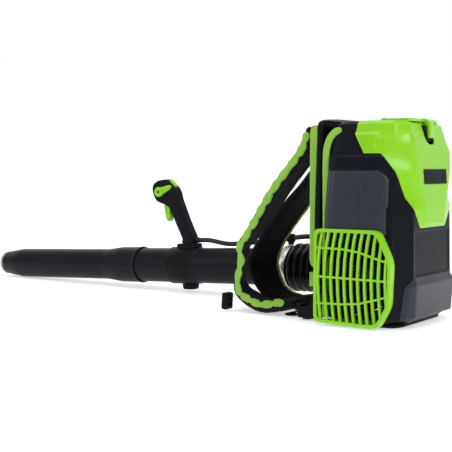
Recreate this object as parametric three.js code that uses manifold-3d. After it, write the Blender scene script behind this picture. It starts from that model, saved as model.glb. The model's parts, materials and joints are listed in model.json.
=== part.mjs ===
// Backpack leaf blower: battery powered fan unit on a shoulder harness, with a flexible hose and a
// blow tube that carries the control handle. Millimetres, +Z up. The blow tube points to -X, which is
// also the way the wearer faces. -Y is the wearer's left, where the air intake is. The origin is the
// middle of the fan unit's footprint, on the surface that it stands on.
import * as THREE from 'three';
import { mergeVertices } from 'three/addons/utils/BufferGeometryUtils.js';
import Module from 'manifold-3d';

const wasm = await Module();
wasm.setup();

// ---- Driving dimensions ----
const GAP = 0.4;
const WALL = 3;
const BODY_BOTTOM = 8;
const BODY_TOP = 452;
const BODY_LEVELS = [
  { z: BODY_BOTTOM, front: -58, rear: 104, half: 148 },
  { z: 20, front: -68, rear: 120, half: 166 },
  { z: 110, front: -70, rear: 125, half: 170 },
  { z: 250, front: -70, rear: 123, half: 168 },
  { z: 330, front: -68, rear: 120, half: 160 },
  { z: 385, front: -66, rear: 115, half: 151 },
  { z: 428, front: -64, rear: 109, half: 140 },
  { z: 446, front: -61, rear: 103, half: 132 },
  { z: BODY_TOP, front: -54, rear: 96, half: 124 },
];
const FRONT_CORNER = 46;
// The body's rear corners, as (x, y) steps in from the rear and side faces. They are smaller at the top.
const REAR_CORNER = [[0, -66], [-25, -23.5], [-50, -8.5], [-85, 0]];
const CORNER_SHRINK = { from: 385, share: 0.4 };
const SHELL_SEAM_X = 30;

const FAN = { x: 20, z: 112, duct: 72, hub: 30, motor: 26, shaft: 4 };
const BLADES = 9;
const BLADE = { thickness: 2.6, chord: 34, pitch: 0.6 };
const VANES = 7;

const FRAME_FRONT = -104;
const FRAME_BACK = -88;
const FRAME_TOP = 461;

const HOSE_Y = 150;
const HOSE_Z = 96;
const HOSE = { bore: 50.4, cuff: 55, valley: 56.5, ridge: 63.5, ridges: 11 };
const HOSE_REAR_X = -80;
const TUBE_X = -348;
const TUBE_Z = 88;
const TUBE = { rear: 50, mid: 49, nozzle: 45, tip: 34.5, wall: 2.5 };
const COLLAR_RADIUS = TUBE.mid + 3;
const MID_START = 292;
const SOCKET_START = 494;
const SOCKET_END = 594;
const TIP_START = 996;
const TUBE_LENGTH = 1075;
const GROUND_CLEARANCE = 0.05;
// The tube slopes down until the end of its straight nozzle reaches the ground.
const TUBE_TILT = Math.asin((TUBE_Z - TUBE.nozzle - GROUND_CLEARANCE) / TIP_START);

const LID = { hinge: { x: 24, z: 458 }, rear: 104, half: 84, bottom: BODY_TOP + GAP, top: 459 };
const LEFT_STRAP_Y = -72;
const LEFT_STRAP_WIDTH = 86;
const RIGHT_STRAP_Y = 34;
const RIGHT_STRAP_WIDTH = 86;
const LEFT_ADJUSTER_Y = -80;
const RIGHT_ADJUSTER_Y = 47;

// ---- Materials ----
const colours = {
  charcoal: [0x2b2e31, 0.5, 0],
  panelGrey: [0x3d4145, 0.45, 0],
  black: [0x131415, 0.55, 0],
  lime: [0x7ed321, 0.35, 0],
  tubeBlack: [0x1c1f23, 0.4, 0],
  tipGrey: [0xb9bcbe, 0.4, 0],
  rubber: [0x0e0e0f, 0.6, 0],
  steel: [0xaeb2b5, 0.35, 1],
  fabric: [0x121214, 0.95, 0],
  gusset: [0x86c93a, 0.9, 0],
  copper: [0xb06a3a, 0.4, 1],
};

function material(name) {
  const [color, roughness, metalness] = colours[name];
  return new THREE.MeshStandardMaterial({ color, roughness, metalness });
}

// ---- Solids ----
function solid(geometry) {
  const plain = geometry.clone();
  plain.deleteAttribute('normal');
  plain.deleteAttribute('uv');
  const merged = mergeVertices(plain, 1e-4);
  const points = merged.getAttribute('position').array;
  const source = merged.getIndex().array;
  const triangles = [];
  let volume = 0;
  for (let i = 0; i < source.length; i += 3) {
    const [a, b, c] = [source[i], source[i + 1], source[i + 2]];
    if (a === b || b === c || c === a) continue;
    triangles.push(a, b, c);
    const va = new THREE.Vector3().fromArray(points, a * 3);
    const vb = new THREE.Vector3().fromArray(points, b * 3);
    const vc = new THREE.Vector3().fromArray(points, c * 3);
    volume += va.dot(vb.cross(vc));
  }
  if (volume < 0) triangles.reverse();
  const mesh = new wasm.Mesh({
    numProp: 3,
    vertProperties: new Float32Array(points),
    triVerts: new Uint32Array(triangles),
  });
  return new wasm.Manifold(mesh);
}

function placed(geometry, x, y, z, rotX = 0, rotY = 0, rotZ = 0) {
  const matrix = new THREE.Matrix4().makeRotationFromEuler(new THREE.Euler(rotX, rotY, rotZ));
  matrix.setPosition(x, y, z);
  return solid(geometry.clone().applyMatrix4(matrix));
}

function box(x0, x1, y0, y1, z0, z1) {
  const geometry = new THREE.BoxGeometry(x1 - x0, y1 - y0, z1 - z0);
  return placed(geometry, (x0 + x1) / 2, (y0 + y1) / 2, (z0 + z1) / 2);
}

function rodY(x, z, radius, y0, y1, sides = 32) {
  return placed(new THREE.CylinderGeometry(radius, radius, y1 - y0, sides), x, (y0 + y1) / 2, z);
}

function rodX(y, z, radius, x0, x1, sides = 32) {
  const geometry = new THREE.CylinderGeometry(radius, radius, x1 - x0, sides);
  return placed(geometry, (x0 + x1) / 2, y, z, 0, 0, Math.PI / 2);
}

function rodZ(x, y, radius, z0, z1, sides = 32) {
  const geometry = new THREE.CylinderGeometry(radius, radius, z1 - z0, sides);
  return placed(geometry, x, y, (z0 + z1) / 2, Math.PI / 2);
}

// Outline points as [x, y] pairs; roundedShape rounds each corner by the given radius.
function roundedShape(points, radius) {
  const shape = new THREE.Shape();
  const corners = points.map(([x, y]) => new THREE.Vector2(x, y));
  corners.forEach((corner, i) => {
    const before = corners[(i + corners.length - 1) % corners.length];
    const after = corners[(i + 1) % corners.length];
    const reach = Math.min(radius, corner.distanceTo(before) * 0.44, corner.distanceTo(after) * 0.44);
    const start = corner.clone().add(before.clone().sub(corner).setLength(reach));
    const end = corner.clone().add(after.clone().sub(corner).setLength(reach));
    if (i === 0) shape.moveTo(start.x, start.y);
    else shape.lineTo(start.x, start.y);
    shape.quadraticCurveTo(corner.x, corner.y, end.x, end.y);
  });
  shape.closePath();
  return shape;
}

function bevelled(shape, depth, bevel, curveSegments) {
  return new THREE.ExtrudeGeometry(shape, {
    depth: depth - 2 * bevel,
    curveSegments,
    bevelEnabled: bevel > 0,
    bevelThickness: bevel,
    bevelSize: bevel,
    bevelOffset: -bevel,
    bevelSegments: 2,
  }).translate(0, 0, bevel);
}

// A plate whose outline is drawn in (x, z), standing between y0 and y1.
function plateXZ(points, y0, y1, radius = 0, bevel = 0, curveSegments = 3) {
  const geometry = bevelled(roundedShape(points, radius), y1 - y0, bevel, curveSegments);
  return placed(geometry, 0, y1, 0, Math.PI / 2);
}

// A plate whose outline is drawn in (y, z), standing between x0 and x1.
function plateYZ(points, x0, x1, radius = 0, bevel = 0, curveSegments = 3) {
  const geometry = bevelled(roundedShape(points, radius), x1 - x0, bevel, curveSegments);
  geometry.applyMatrix4(new THREE.Matrix4().set(0, 0, 1, x0, 1, 0, 0, 0, 0, 1, 0, 0, 0, 0, 0, 1));
  return solid(geometry);
}

// Rings of equally many points, joined in order and capped at both ends.
function loft(rings) {
  const positions = [];
  const push = (...points) => points.forEach((p) => positions.push(p.x, p.y, p.z));
  const centre = (ring) => ring.reduce((sum, p) => sum.add(p), new THREE.Vector3()).divideScalar(ring.length);
  const first = rings[0];
  const last = rings[rings.length - 1];
  const [firstCentre, lastCentre] = [centre(first), centre(last)];
  const count = first.length;
  for (let i = 0; i < count; i += 1) {
    const next = (i + 1) % count;
    for (let k = 0; k + 1 < rings.length; k += 1) {
      push(rings[k][i], rings[k][next], rings[k + 1][next]);
      push(rings[k][i], rings[k + 1][next], rings[k + 1][i]);
    }
    push(first[next], first[i], firstCentre);
    push(last[i], last[next], lastCentre);
  }
  const geometry = new THREE.BufferGeometry();
  geometry.setAttribute('position', new THREE.Float32BufferAttribute(positions, 3));
  return solid(geometry);
}

// A turned solid about the X axis: the profile is a closed loop of [x, radius].
function turned(profile, y = 0, z = 0, sides = 32) {
  const loop = [...profile, profile[0]].map(([x, r]) => new THREE.Vector2(r, x));
  const geometry = new THREE.LatheGeometry(loop, sides);
  return placed(geometry, 0, y, z, 0, 0, -Math.PI / 2);
}

// A round bar or pipe of changing radius along a curve.
function sweep(curve, radiusAt, steps, sides) {
  const rings = [];
  for (let i = 0; i <= steps; i += 1) {
    const t = i / steps;
    const tangent = curve.getTangent(t);
    const side = new THREE.Vector3(0, 0, 1).cross(tangent).normalize();
    const up = tangent.clone().cross(side);
    const centre = curve.getPoint(t);
    const ring = [];
    for (let k = 0; k < sides; k += 1) {
      const angle = (2 * Math.PI * k) / sides;
      const offset = side.clone().multiplyScalar(Math.cos(angle)).addScaledVector(up, Math.sin(angle));
      ring.push(centre.clone().addScaledVector(offset, radiusAt(t)));
    }
    rings.push(ring);
  }
  return loft(rings);
}

// A flat band of even thickness along a route in (x, z), centred on y.
function band(route, thickness, y, width, samples) {
  const curve = new THREE.CatmullRomCurve3(route.map(([x, z]) => new THREE.Vector3(x, z, 0)));
  const upper = [];
  const lower = [];
  for (let i = 0; i <= samples; i += 1) {
    const p = curve.getPointAt(i / samples);
    const t = curve.getTangentAt(i / samples);
    upper.push([p.x - (t.y * thickness) / 2, p.y + (t.x * thickness) / 2]);
    lower.unshift([p.x + (t.y * thickness) / 2, p.y - (t.x * thickness) / 2]);
  }
  const shape = new THREE.Shape([...upper, ...lower].map(([x, z]) => new THREE.Vector2(x, z)));
  const geometry = new THREE.ExtrudeGeometry(shape, { depth: width, bevelEnabled: false });
  return placed(geometry, 0, y + width / 2, 0, Math.PI / 2);
}

// ---- Fan unit body ----
function levelAt(z) {
  const above = Math.max(1, BODY_LEVELS.findIndex((level) => level.z >= z));
  const [a, b] = [BODY_LEVELS[above - 1], BODY_LEVELS[above]];
  const t = (z - a.z) / (b.z - a.z);
  const mix = (key) => a[key] + (b[key] - a[key]) * t;
  return { z, front: mix('front'), rear: mix('rear'), half: mix('half') };
}

// The direction in which each point of a corner moves when the body grows by one millimetre.
function mitres(corner) {
  const sides = corner.slice(1).map(([x, y], i) => {
    const [dx, dy] = [x - corner[i][0], y - corner[i][1]];
    return [dy / Math.hypot(dx, dy), -dx / Math.hypot(dx, dy)];
  });
  return corner.map((_, i) => {
    const [before, after] = [sides[i - 1] ?? [1, 0], sides[i] ?? [0, 1]];
    const share = 1 + before[0] * after[0] + before[1] * after[1];
    return [(before[0] + after[0]) / share, (before[1] + after[1]) / share];
  });
}

const CORNER_MITRES = mitres(REAR_CORNER);

function bodyRing(level, grow, arcSteps = 5) {
  const climbed = Math.max(0, (level.z - CORNER_SHRINK.from) / (BODY_TOP - CORNER_SHRINK.from));
  const scale = 1 - CORNER_SHRINK.share * climbed;
  const rearCorner = REAR_CORNER.map(([x, y], i) => [
    level.rear + x * scale + CORNER_MITRES[i][0] * grow,
    level.half + y * scale + CORNER_MITRES[i][1] * grow,
  ]);
  const radius = FRONT_CORNER + grow;
  const centre = { x: level.front - grow + radius, y: level.half + grow - radius };
  const frontCorner = Array.from({ length: arcSteps + 1 }, (_, i) => {
    const angle = ((1 + i / arcSteps) * Math.PI) / 2;
    return [centre.x + radius * Math.cos(angle), centre.y + radius * Math.sin(angle)];
  });
  const right = [...rearCorner, ...frontCorner];
  const left = right.map(([x, y]) => [x, -y]).reverse();
  return [...right, ...left].map(([x, y]) => new THREE.Vector3(x, y, level.z));
}

function bodyLoft(grow, bottom = BODY_BOTTOM, top = BODY_TOP) {
  const between = BODY_LEVELS.filter((level) => level.z > bottom && level.z < top);
  const levels = [levelAt(bottom), ...between, levelAt(top)];
  return loft(levels.map((level) => bodyRing(level, grow)));
}

const SPAN = 400;
const bodySolid = bodyLoft(0);
const bodyHollow = bodyLoft(-WALL, BODY_BOTTOM + WALL, BODY_TOP - WALL);
const bodyShell = bodySolid.subtract(bodyHollow);

// The green hood covers the top rear and ends in a tongue down the rear face.
function hoodRegion(gap) {
  const tongue = [
    [-SPAN, 380 + gap], [-144, 380 + gap], [-142, 372 + gap], [-136, 346 + gap], [-119, 286 + gap],
    [-66, 217 + gap], [66, 217 + gap], [119, 286 + gap], [136, 346 + gap], [142, 372 + gap],
    [144, 380 + gap], [SPAN, 380 + gap], [SPAN, 600], [-SPAN, 600],
  ];
  const side = [[28 + gap, 0], [28 + gap, 381], [3 + gap, 425], [3 + gap, 600], [SPAN, 600], [SPAN, 0]];
  return plateYZ(tongue, -SPAN, SPAN).intersect(plateXZ(side, -SPAN, SPAN));
}

// ---- Air path ----
const elbowCurve = new THREE.CubicBezierCurve3(
  new THREE.Vector3(FAN.x, 48, FAN.z),
  new THREE.Vector3(FAN.x, 112, FAN.z),
  new THREE.Vector3(-14, HOSE_Y, HOSE_Z),
  new THREE.Vector3(-70, HOSE_Y, HOSE_Z),
);
const ELBOW_SIDES = 24;
const elbowRadius = (grow) => (t) => FAN.duct + 1 - (FAN.duct + 1 - TUBE.rear) * Math.min(1, t * 1.25) + grow;

function elbowOuter(grow) {
  const bend = sweep(elbowCurve, elbowRadius(grow), 8, ELBOW_SIDES);
  return bend.add(rodX(HOSE_Y, HOSE_Z, TUBE.rear + grow, -79, -69.5, ELBOW_SIDES))
    .add(rodX(HOSE_Y, HOSE_Z, TUBE.rear - 1.6 + grow, -105, -78, ELBOW_SIDES));
}

function outletElbow() {
  const bore = sweep(elbowCurve, elbowRadius(-WALL), 8, ELBOW_SIDES);
  const mouth = rodY(FAN.x, FAN.z, FAN.duct + 1 - WALL, 40, 48.5, ELBOW_SIDES);
  return elbowOuter(0)
    .subtract(bore.add(mouth).add(rodX(HOSE_Y, HOSE_Z, TUBE.rear - WALL - 1, -120, -69, ELBOW_SIDES)));
}

const elbowClearance = elbowOuter(1.2);
const intakeHole = rodY(FAN.x, FAN.z, 84, -200, -150, 40);
const hoodCut = hoodRegion(0);

function housingFront() {
  return bodyShell
    .intersect(box(-SPAN, SHELL_SEAM_X - GAP / 2, -SPAN, SPAN, -10, 600))
    .subtract(hoodCut)
    .subtract(elbowClearance)
    .subtract(intakeHole);
}

function housingRear() {
  return bodyShell
    .intersect(box(SHELL_SEAM_X + GAP / 2, SPAN, -SPAN, SPAN, -10, 600))
    .subtract(hoodCut)
    .subtract(elbowClearance)
    .subtract(intakeHole);
}

const CATCH = { x0: 98, half: 22, bottom: 408, top: 444 };
const BAY = { x0: 30, x1: 94, half: 60, bottom: 232, top: 446, wall: 2.5 };

function hood() {
  return bodyShell
    .intersect(hoodRegion(GAP))
    .subtract(box(BAY.x0 - 3, 97, -BAY.half - 3, BAY.half + 3, 440, 470))
    .subtract(box(CATCH.x0, 130, -CATCH.half, CATCH.half, CATCH.bottom, CATCH.top))
    .add(hingeLugs())
    .subtract(hingeBore);
}

function latchCatch() {
  return bodyShell.intersect(
    box(CATCH.x0, 130, GAP - CATCH.half, CATCH.half - GAP, CATCH.bottom + GAP, CATCH.top - GAP),
  );
}

// Raised skins on the outside of the body, cut to an outline.
function skin(region, thickness, bottom, top) {
  const outside = bodyLoft(GAP + thickness, bottom, top);
  return outside.subtract(bodyLoft(GAP, bottom - 1, top + 1)).intersect(region);
}

function sidePanel(sign) {
  const arch = [[-46, 224], [86, 224], [84, 318], [64, 343], [-46, 346]];
  const near = sign < 0 ? [-SPAN, -100] : [100, SPAN];
  return skin(plateXZ(arch, near[0], near[1], 14), 2, 222, 350);
}

function rearLowerPanel() {
  const outline = [[-112, 26], [112, 26], [118, 104], [-118, 104]];
  return skin(plateYZ(outline, 40, SPAN, 10), 4, 20, 108);
}

function badgePlate() {
  return skin(plateYZ([[-62, 314], [62, 314], [62, 347], [-62, 347]], 40, SPAN, 3), 1.5, 310, 350);
}

// ---- Intake grille ----
const GRILLE = { outer: -181, inner: -172.5, slatWidth: 5.4, slatPitch: 16.4, ribWidth: 4.5, skirt: -160 };
const GRILLE_OUTLINE = [[-79, 8], [52, 4], [78, 6], [104, 52], [108, 150], [76, 216], [-79, 216]];

function intakeGrille() {
  // Behind the flat front the rim runs back to the body, which turns away towards the rear.
  const skirt = plateXZ(GRILLE_OUTLINE, GRILLE.inner, GRILLE.skirt, 16, 0, 4)
    .intersect(box(-50, SPAN, -SPAN, 0, 0, 300));
  const rim = plateXZ(GRILLE_OUTLINE, GRILLE.outer, GRILLE.inner + 2, 16, 0, 4).add(skirt)
    .subtract(bodyLoft(GAP));
  const middle = { x: 14, z: 111 };
  const shrink = ([x, z], share) => [middle.x + (x - middle.x) * share, middle.z + (z - middle.z) * share];
  const inside = GRILLE_OUTLINE.map((corner) => shrink(corner, 0.93));
  const opening = plateXZ(inside, -200, -100, 14, 0, 4);
  const field = plateXZ(inside.map((corner) => shrink(corner, 1.03)), -200, -150, 14, 0, 4);
  const slatCount = 11;
  const depth = (GRILLE.outer + GRILLE.inner) / 2;
  const bowed = (x) => [[x + 14, 222], [x + 4, 170], [x, 112], [x + 3, 56], [x + 10, 0]];
  const slats = Array.from({ length: slatCount }, (_, i) => {
    const slat = band(bowed(-80 + (i + 0.6) * GRILLE.slatPitch), GRILLE.slatWidth, depth, 6, 6);
    return slat.intersect(field);
  });
  const bars = [
    [[-90, 174], [20, 170], [62, 158], [108, 146]],
    [[-90, 110], [108, 108]],
    [[-90, 50], [20, 54], [62, 64], [108, 78]],
  ].map((route) => band(route, GRILLE.ribWidth, depth, 5, 5).intersect(field));
  return [...slats, ...bars].reduce((sum, piece) => sum.add(piece), rim.subtract(opening));
}

// A turned solid about an axis along Y: the profile is a closed loop of [y, radius].
function turnedY(profile, x, z, sides = 32) {
  const loop = [...profile, profile[0]].map(([y, r]) => new THREE.Vector2(r, y));
  return placed(new THREE.LatheGeometry(loop, sides), x, 0, z);
}

function fanDuct() {
  const [inner, outer] = [FAN.duct, FAN.duct + 2.5];
  const profile = [[-165, 83], [-140, outer + 2], [-124, outer], [47.5, outer], [47.5, inner], [-124, inner],
    [-140, inner + 1], [-165, 80]];
  return turnedY(profile, FAN.x, FAN.z, 36).intersect(bodyLoft(-WALL - GAP));
}

function bladeSet(count, y0, y1, twist, rootRadius, tipRadius, thickness, angleOffset) {
  const blades = [];
  for (let i = 0; i < count; i += 1) {
    const blade = [rootRadius, (rootRadius + tipRadius) / 2, tipRadius].map((radius, k) => {
      const lean = twist * (1 - 0.25 * k);
      return [[y0, -lean], [y1, lean]].flatMap(([y, spread], end) => {
        const half = thickness / 2;
        const order = end === 0 ? [-half, half] : [half, -half];
        return order.map((side) => new THREE.Vector3(spread + side, y, radius));
      });
    });
    const turn = new THREE.Matrix4().makeRotationY((2 * Math.PI * i) / count + angleOffset);
    turn.setPosition(FAN.x, 0, FAN.z);
    blade.forEach((ring) => ring.forEach((p) => p.applyMatrix4(turn)));
    blades.push(loft(blade));
  }
  return blades;
}

// Flat blades, each pitched about its own radial line, on a hub with a domed nose.
function impeller() {
  const nose = placed(new THREE.CylinderGeometry(FAN.hub, 12, 20, 28), FAN.x, -104, FAN.z);
  const hub = rodY(FAN.x, FAN.z, FAN.hub, -94.5, -60, 28).add(nose);
  const [root, tip] = [FAN.hub - 3, FAN.duct - 2];
  const blades = Array.from({ length: BLADES }, (_, i) => {
    const blade = new THREE.BoxGeometry(BLADE.thickness, BLADE.chord, tip - root);
    blade.rotateZ(BLADE.pitch);
    blade.translate(0, 0, (root + tip) / 2);
    return placed(blade, FAN.x, -78, FAN.z, 0, (2 * Math.PI * i) / BLADES);
  });
  return blades.reduce((sum, blade) => sum.add(blade), hub)
    .subtract(rodY(FAN.x, FAN.z, FAN.shaft + 0.3, -96, -50, 16));
}

function stator() {
  const [inner, outer] = [FAN.motor + 1, FAN.hub];
  const profile = [[-54, inner], [-54, outer], [30, outer], [44, outer - 6], [44, outer - 9], [26, inner]];
  return bladeSet(VANES, -30, 28, 4, FAN.hub - 2.2, FAN.duct - 0.4, 2.4, 0.2)
    .reduce((sum, vane) => sum.add(vane), turnedY(profile, FAN.x, FAN.z, 28));
}

function motorCan() {
  const can = rodY(FAN.x, FAN.z, FAN.motor, -52, 20, 28);
  return can.subtract(rodY(FAN.x, FAN.z, 11.4, -60, -43.7, 20))
    .subtract(rodY(FAN.x, FAN.z, 11.4, 11.7, 30, 20))
    .subtract(rodY(FAN.x, FAN.z, FAN.shaft + 0.8, -60, 30, 16));
}

function bearing(y0, y1) {
  const bore = rodY(FAN.x, FAN.z, FAN.shaft + 0.15, y0 - 1, y1 + 1, 20);
  return rodY(FAN.x, FAN.z, 11, y0, y1, 20).subtract(bore);
}

// ---- Battery and electronics ----
function batteryBay() {
  const walls = box(BAY.x0, BAY.x1, -BAY.half, BAY.half, BAY.bottom, BAY.top - 8);
  const [x0, x1, half] = [BAY.x0 + BAY.wall, BAY.x1 - BAY.wall, BAY.half - BAY.wall];
  return walls.subtract(box(x0, x1, -half, half, BAY.bottom + BAY.wall, 480));
}

function batteryPack() {
  const outline = [[33.5, 250], [90.5, 250], [90.5, 434], [33.5, 434]];
  const block = plateXZ(outline, -56, 56, 5, 2, 2);
  return block.add(box(44, 80, -30, 30, 433, 441)).subtract(box(52, 72, -22, 22, 436, 446));
}

function controllerBox() {
  const base = box(-58, -40, -70, 70, 250, 390);
  const fins = Array.from({ length: 8 }, (_, i) => box(-41, -18, -66 + i * 18, -62 + i * 18, 254, 386));
  return fins.reduce((sum, fin) => sum.add(fin), base);
}

// ---- Lid ----
const KNUCKLE = { radius: 4.6, half: 9, at: [-40, 40] };
const LATCH_PIVOT = { x: 100, z: 455.6 };

function lid() {
  const front = LID.hinge.x + 6.5;
  const outline = [[front, -LID.half], [LID.rear, 8 - LID.half], [LID.rear, LID.half - 8], [front, LID.half]];
  const plate = bevelled(roundedShape(outline, 12), LID.top - LID.bottom, 2, 3);
  const knuckles = KNUCKLE.at.map((y) => {
    const [y0, y1] = [y - KNUCKLE.half, y + KNUCKLE.half];
    const arm = box(LID.hinge.x, LID.hinge.x + 12, y0, y1, LID.hinge.z - 4, LID.hinge.z);
    return rodY(LID.hinge.x, LID.hinge.z, KNUCKLE.radius, y0, y1, 20).add(arm);
  });
  return knuckles.reduce((sum, knuckle) => sum.add(knuckle), placed(plate, 0, 0, LID.bottom))
    .subtract(rodY(LID.hinge.x, LID.hinge.z, 2.1, -100, 100, 20))
    .subtract(rodY(LATCH_PIVOT.x, LATCH_PIVOT.z, 1.6, -18.4, 18.4, 16))
    .subtract(box(95, 110, -12.5, 12.5, 440, 470));
}

function lidHingePin() {
  return rodY(LID.hinge.x, LID.hinge.z, 2, -53, 53, 20);
}

// Lugs that stand on the hood on both sides of each lid knuckle and hold the hinge pin.
function hingeLugs() {
  const lugs = KNUCKLE.at.flatMap((y) => [y - KNUCKLE.half - 5, y + KNUCKLE.half + 0.6].map((y0) => {
    const foot = box(LID.hinge.x - 4.5, LID.hinge.x + 4.5, y0, y0 + 4.4, 450, LID.hinge.z);
    return rodY(LID.hinge.x, LID.hinge.z, 5.2, y0, y0 + 4.4, 20).add(foot);
  }));
  return lugs.reduce((sum, lug) => sum.add(lug));
}

const hingeBore = rodY(LID.hinge.x, LID.hinge.z, 2.15, -100, 100, 20);

function lidLatch() {
  const outline = [[98.2, 459.5], [110, 459.5], [119, 452], [121, 420], [117.5, 416], [114.5, 420],
    [114, 444], [108, 450], [98.2, 453.4]];
  return plateXZ(outline, -12, 12, 1.5, 0, 2).subtract(rodY(LATCH_PIVOT.x, LATCH_PIVOT.z, 1.6, -20, 20, 16));
}

function lidLatchPin() {
  return rodY(LATCH_PIVOT.x, LATCH_PIVOT.z, 1.5, -18, 18, 16);
}

// ---- Back frame and harness ----
const HOSE_NOTCH = box(-300, 0, 82, 300, -10, 168);

function backFrame() {
  const outline = [[-134, 8], [134, 8], [136, 250], [124, FRAME_TOP - 6], [90, FRAME_TOP], [-90, FRAME_TOP],
    [-124, FRAME_TOP - 6], [-136, 250]];
  const feet = [[-130, -88], [30, 74]].map(([y0, y1]) => plateXZ(
    [[-150, 5], [-96, 5], [-96, 70], [-108, 70], [-122, 34], [-150, 26]], y0, y1, 5, 0, 2,
  ));
  const bosses = [[-110, 200], [110, 200], [-100, 400], [100, 400]]
    .map(([y, z]) => rodX(y, z, 9, FRAME_BACK - 2, -70.4, 16));
  return [...feet, ...bosses]
    .reduce((sum, piece) => sum.add(piece), plateYZ(outline, FRAME_FRONT, FRAME_BACK, 26, 3, 4))
    .subtract(HOSE_NOTCH)
    .subtract(box(-120, -80, -60, 60, 60, 110));
}

// The moulded tray that the fan unit stands on.
function baseTray() {
  const outline = [[-46, -128], [86, -128], [100, -100], [100, 100], [86, 128], [-46, 128]];
  return placed(bevelled(roundedShape(outline, 24), BODY_BOTTOM - GAP, 1.5, 4), 0, 0, 0);
}

function topCap() {
  const outline = [[-86, -112], [-6, -118], [-6, 118], [-86, 112]];
  const lower = bodyLoft(GAP, 300, BODY_TOP);
  const plate = placed(bevelled(roundedShape(outline, 20), 22, 5, 4), 0, 0, FRAME_TOP - 22);
  return plate.subtract(lower)
    .subtract(box(-200, 100, -200, 200, 300, BODY_TOP - 8))
    .subtract(box(-200, -69, -200, 200, 300, BODY_TOP - 5));
}

function edgeTrim() {
  const outer = [[-139, 14], [139, 14], [140, 250], [132, 446], [-132, 446], [-140, 250]];
  const inner = outer.map(([y, z]) => [y * 0.96, z < 20 ? -20 : z - 6]);
  return plateYZ(outer, FRAME_BACK + GAP, -70.6, 34, 0, 5)
    .subtract(plateYZ(inner, -100, -60, 30, 0, 5))
    .subtract(HOSE_NOTCH)
    .subtract(elbowClearance)
    .subtract(box(-120, -60, -60, 200, -10, 60));
}

function backPad() {
  const outline = [[-118, 122], [74, 122], [78, 176], [118, 180], [116, 448], [-116, 448]];
  return plateYZ(outline, -124, FRAME_FRONT - GAP, 18, 6, 4);
}

function lumbarPad() {
  const outline = [[-118, 76], [76, 76], [76, 114], [-118, 114]];
  return plateYZ(outline, -124, FRAME_FRONT - GAP, 12, 5, 3);
}

// Straps, from the frame's top to the adjuster. x and z are the middle of the strap's section, lean is
// how far the section runs forward or back across its width, per millimetre.
const LEFT_STRAP = [
  { x: -125.6, z: 438, thick: 15, lean: 0 }, { x: -132, z: 438, thick: 16, lean: 0 },
  { x: -140, z: 422, thick: 17, lean: 0 }, { x: -160, z: 383, thick: 18, lean: 0 },
  { x: -233, z: 297, thick: 18, lean: 0 },
  { x: -304, z: 197, thick: 18, lean: -0.1 }, { x: -338, z: 160, thick: 18, lean: -0.3 },
  { x: -339, z: 127, thick: 18, lean: -0.45 }, { x: -350, z: 72, thick: 20, lean: -0.42 },
  { x: -336, z: 44, thick: 24, lean: -0.3 }, { x: -294, z: 23, thick: 28, lean: -0.15 },
  { x: -258, z: 17, thick: 29, lean: -0.05 }, { x: -214, z: 24, thick: 30, lean: 0 },
  { x: -176, z: 33, thick: 24, lean: 0 },
];
const RIGHT_STRAP = [
  { x: -125.6, z: 438, thick: 15, lean: 0 }, { x: -132, z: 438, thick: 16, lean: 0 },
  { x: -140, z: 422, thick: 17, lean: 0 }, { x: -156, z: 380, thick: 18, lean: 0 },
  { x: -203, z: 314, thick: 18, lean: 0.1 },
  { x: -259, z: 253, thick: 18, lean: 0.2 }, { x: -322, z: 172, thick: 18, lean: 0.2 },
  { x: -353, z: 112, thick: 18, lean: 0.36 }, { x: -340, z: 68, thick: 18, lean: 0.27 },
  { x: -318, z: 38, thick: 20, lean: 0.15 }, { x: -284, z: 22, thick: 22, lean: 0 },
  { x: -250, z: 18, thick: 22, lean: 0 }, { x: -212, z: 24, thick: 22, lean: 0 },
  { x: -176, z: 33, thick: 22, lean: 0 },
];
const STRAP_STEPS = 44;

function shoulderStrap(stations, y, width) {
  const curve = new THREE.CatmullRomCurve3(stations.map(({ x, z }) => new THREE.Vector3(x, z, 0)));
  const rings = [];
  for (let i = 0; i <= STRAP_STEPS; i += 1) {
    const along = (i / STRAP_STEPS) * (stations.length - 1);
    const from = Math.min(Math.floor(along), stations.length - 2);
    const mix = (key) => THREE.MathUtils.lerp(stations[from][key], stations[from + 1][key], along - from);
    const middle = curve.getPoint(i / STRAP_STEPS);
    const run = curve.getTangent(i / STRAP_STEPS);
    const half = mix('thick') / 2;
    const across = [[-1, -0.6], [-0.8, -1], [0.8, -1], [1, -0.6], [1, 0.6], [0.8, 1], [-0.8, 1], [-1, 0.6]];
    rings.push(across.map(([side, face]) => {
      const offset = (side * width) / 2;
      const x = middle.x - run.y * half * face + offset * mix('lean');
      return new THREE.Vector3(x, y + offset, middle.y + run.x * half * face);
    }));
  }
  return loft(rings);
}

function adjuster(y) {
  const frame = plateXZ([[-173, 17], [-154, 12], [-152, 22], [-171, 33]], y - 24, y + 24, 2, 0, 2);
  return frame.subtract(plateXZ([[-165, 0], [-159, 0], [-159, 60], [-165, 60]], y - 19.5, y + 19.5));
}

// From the frame's foot, under the adjuster, to the free tail that lies folded on the ground.
function lowerWebbing(y) {
  const route = [
    [-150.6, 9], [-158, 7], [-170, 4], [-184, 2.4], [-197, 2.2], [-203, 4.6], [-197, 7.2], [-186, 7],
  ];
  return band(route, 2.2, y, 38, 18);
}

const BUCKLE = { front: -374, back: -357, y0: -120, y1: -90, bottom: 3, top: 46 };

function chestBuckle() {
  const { front, back, y0, y1, bottom, top } = BUCKLE;
  const outline = [[front, bottom + 3], [back - 2, bottom], [back, top - 3], [front + 3, top]];
  const body = plateXZ(outline, y0, y1, 4, 1.5, 2);
  return [bottom + 10, bottom + 24].reduce(
    (rest, slot) => rest.subtract(box(front - 10, back + 10, y0 + 6, y1 - 6, slot, slot + 8)),
    body,
  );
}

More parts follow.
